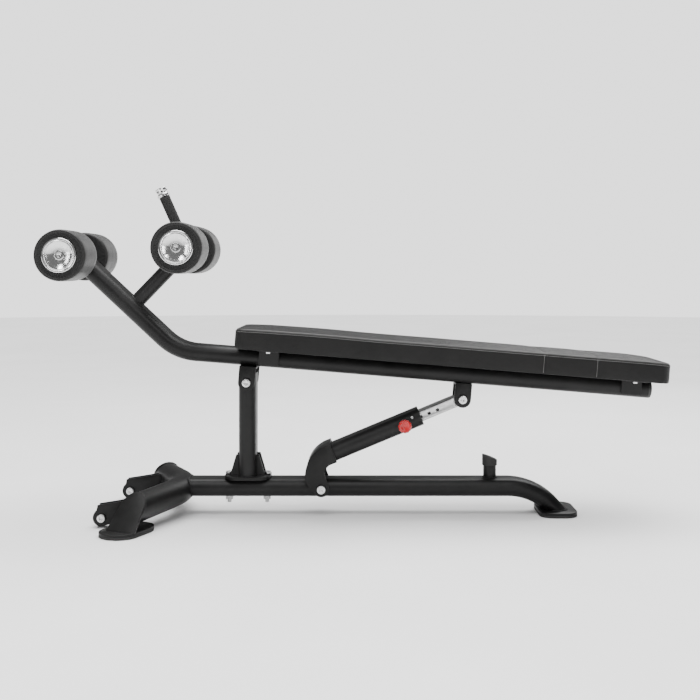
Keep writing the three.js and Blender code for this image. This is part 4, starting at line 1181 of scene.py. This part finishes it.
def cross_seams(skin, to_seat):
    """Creases over the top and down both sides; returns the row of stitches beside each."""
    creases = []
    threads = []
    half = PAD_WIDTH / 2
    edge = PAD_EDGE - 1.5 * MM
    for seam in CROSS_SEAMS:
        x = seam - PAD_MIDDLE
        path = [(Vector((x, -half - 20 * MM, z)), ACROSS) for z in np.linspace(5 * MM, edge, 14)]
        for y in np.linspace(-half + 2 * MM, half - 2 * MM, 74):
            path.append((Vector((x, y, PAD_EDGE + 40 * MM)), -UP))
        path += [(Vector((x, half + 20 * MM, z)), -ACROSS) for z in np.linspace(edge, 5 * MM, 14)]
        hits = [surface_at(skin, start, direction) for start, direction in path]
        hits = [(hit, normal) for hit, normal in hits if hit is not None]
        crease = [hit + normal * 0.1 * MM for hit, normal in hits]
        creases.append(corded(crease, 0.9 * MM, closed=False, sides=8))
        for (hit, normal), (after, _) in zip(hits, hits[1:]):
            along = (after - hit).normalized()
            beside = normal.cross(along).normalized()
            threads.append(stitch(hit + beside * 3.2 * MM + normal * 0.3 * MM, along, normal, 2.9 * MM))
    piece("pad_cross_seams", *joined(creases), "pad_vinyl", "seat", 80, place=to_seat)
    return threads


def pad_bolts():
    """Bolts that hold the pad's board to its brackets."""
    for name in ("front", "rear"):
        run = (middle("pad_bracket_" + name) - MAIN).dot(SEAT_ALONG)
        for label, side in (("left", -1), ("right", 1)):
            at = seat_point(run, side * 88 * MM, PAD_LOW - 4.7 * MM)
            hex_bolt(f"pad_bolt_{name}_{label}", at, -SEAT_UP, "seat", 11 * MM, 5.5 * MM)


# ---- The rest of the CAD pieces, with rounded edges ----

PLAIN = (
    "front_end_plate_left front_end_plate_right front_foot_plate_left front_foot_plate_right "
    "rear_foot_plate post_flange stop_post wheel_bracket_left wheel_bracket_right "
    "main_clevis strut_clevis pad_bracket_front pad_bracket_rear pad_board "
    "foot_axle knee_axle strut_inner_tube strut_guide strut_bracket pin_housing pull_pin "
    "pin_spring main_pivot_bush strut_top_bush"
).split()
RUBBER_FEET = ("front_foot_pad_left", "front_foot_pad_right", "rear_foot_pad")


def remaining():
    for node in PLAIN:
        refined(node, 0 if node in ("pin_spring", "main_pivot_bush", "strut_top_bush") else 0.8 * MM)
    for node in RUBBER_FEET:
        refined(node, 1.6 * MM)


# ---- Floor, light and camera ----

FLOOR_RADIUS = 14.0
BACKDROP = 2.05  # strength of the backdrop behind the object
FILL = 0.22  # strength of the light that it gives
SKY = 5.4  # strength of the even light from above
CAMERA_AT = (0.016, -3.1, 0.705)
FOCAL_LENGTH = 54.51  # millimetres, on a sensor 36 mm wide
LENS_SHIFT = (-0.01857, -0.11286)  # shares of the picture's width


def stage():
    """A pale round floor, an even sky, and lamps that the camera doesn't see."""
    rim = [(x, y, 0) for x, y in circle(FLOOR_RADIUS, 48)]
    mesh = bpy.data.meshes.new("floor")
    mesh.from_pydata(rim, [], [tuple(range(len(rim)))])
    material, tree, surface, where = new_material("pale_floor")
    patch = noise(tree, where, 1.5, 3.0)
    colour = blend_colour(tree, spread(tree, patch, 0, 1), grey(0.86), grey(0.9))
    connect(tree, surface, colour=colour, rough=spread(tree, patch, 0.75, 0.85))
    mesh.materials.append(material)
    floor = bpy.data.objects.new("floor", mesh)
    bpy.context.scene.collection.objects.link(floor)

    world = bpy.data.worlds.new("studio")
    world.use_nodes = True
    tree = world.node_tree
    background = tree.nodes["Background"]
    background.inputs["Color"].default_value = (1.0, 1.0, 1.0, 1)
    seen = add_node(tree, "ShaderNodeLightPath").outputs["Is Camera Ray"]
    tree.links.new(spread(tree, seen, FILL, BACKDROP, 0, 1), background.inputs["Strength"])
    bpy.context.scene.world = world

    sky = bpy.data.lights.new("sky", "SUN")
    sky.energy = SKY
    sky.angle = math.radians(70)
    above = bpy.data.objects.new("sky", sky)
    bpy.context.scene.collection.objects.link(above)
    above.rotation_euler = (math.radians(-8), math.radians(4), 0)

    for name, at, target, energy, width, depth in (
        ("key", (-0.6, -2.0, 3.4), (0, 0, 0.3), 40, 2.4, 1.2),
        ("top", (0.2, 0.8, 3.4), (0, 0, 0.3), 55, 3.4, 1.6),
        ("rim", (1.6, 2.6, 2.2), (0, 0, 0.4), 30, 1.8, 1.2),
        ("left strip", (-2.9, -3.0, 1.2), (-0.6, 0, 0.7), 20, 0.25, 1.6),
        ("right strip", (1.2, -3.6, 1.3), (-0.6, 0, 0.7), 20, 0.25, 1.6),
        ("high left", (-1.9, -2.6, 2.4), (-0.6, 0, 0.7), 16, 0.3, 0.9),
        ("high right", (0.5, -2.8, 2.5), (-0.6, 0, 0.7), 16, 0.3, 0.9),
    ):
        light = bpy.data.lights.new(name, "AREA")
        light.shape = "RECTANGLE"
        light.size = width
        light.size_y = depth
        light.energy = energy
        lamp = bpy.data.objects.new(name, light)
        bpy.context.scene.collection.objects.link(lamp)
        lamp.visible_camera = False
        lamp.location = at
        lamp.rotation_euler = (Vector(target) - Vector(at)).to_track_quat("-Z", "Y").to_euler()


def camera():
    """Side view from the left, level, with the horizon above the middle of the frame."""
    lens = bpy.data.cameras.new("camera")
    lens.sensor_width = 36
    lens.lens = FOCAL_LENGTH
    lens.shift_x, lens.shift_y = LENS_SHIFT
    lens.clip_end = 100
    view = bpy.data.objects.new("camera", lens)
    bpy.context.scene.collection.objects.link(view)
    view.location = CAMERA_AT
    view.rotation_euler = (math.pi / 2, 0, 0)
    bpy.context.scene.camera = view


base_frame()
wheels()
stop_cap()
seat_frame()
rollers()
strut()
knob()
bolts()
remaining()
pad()
stage()
camera()
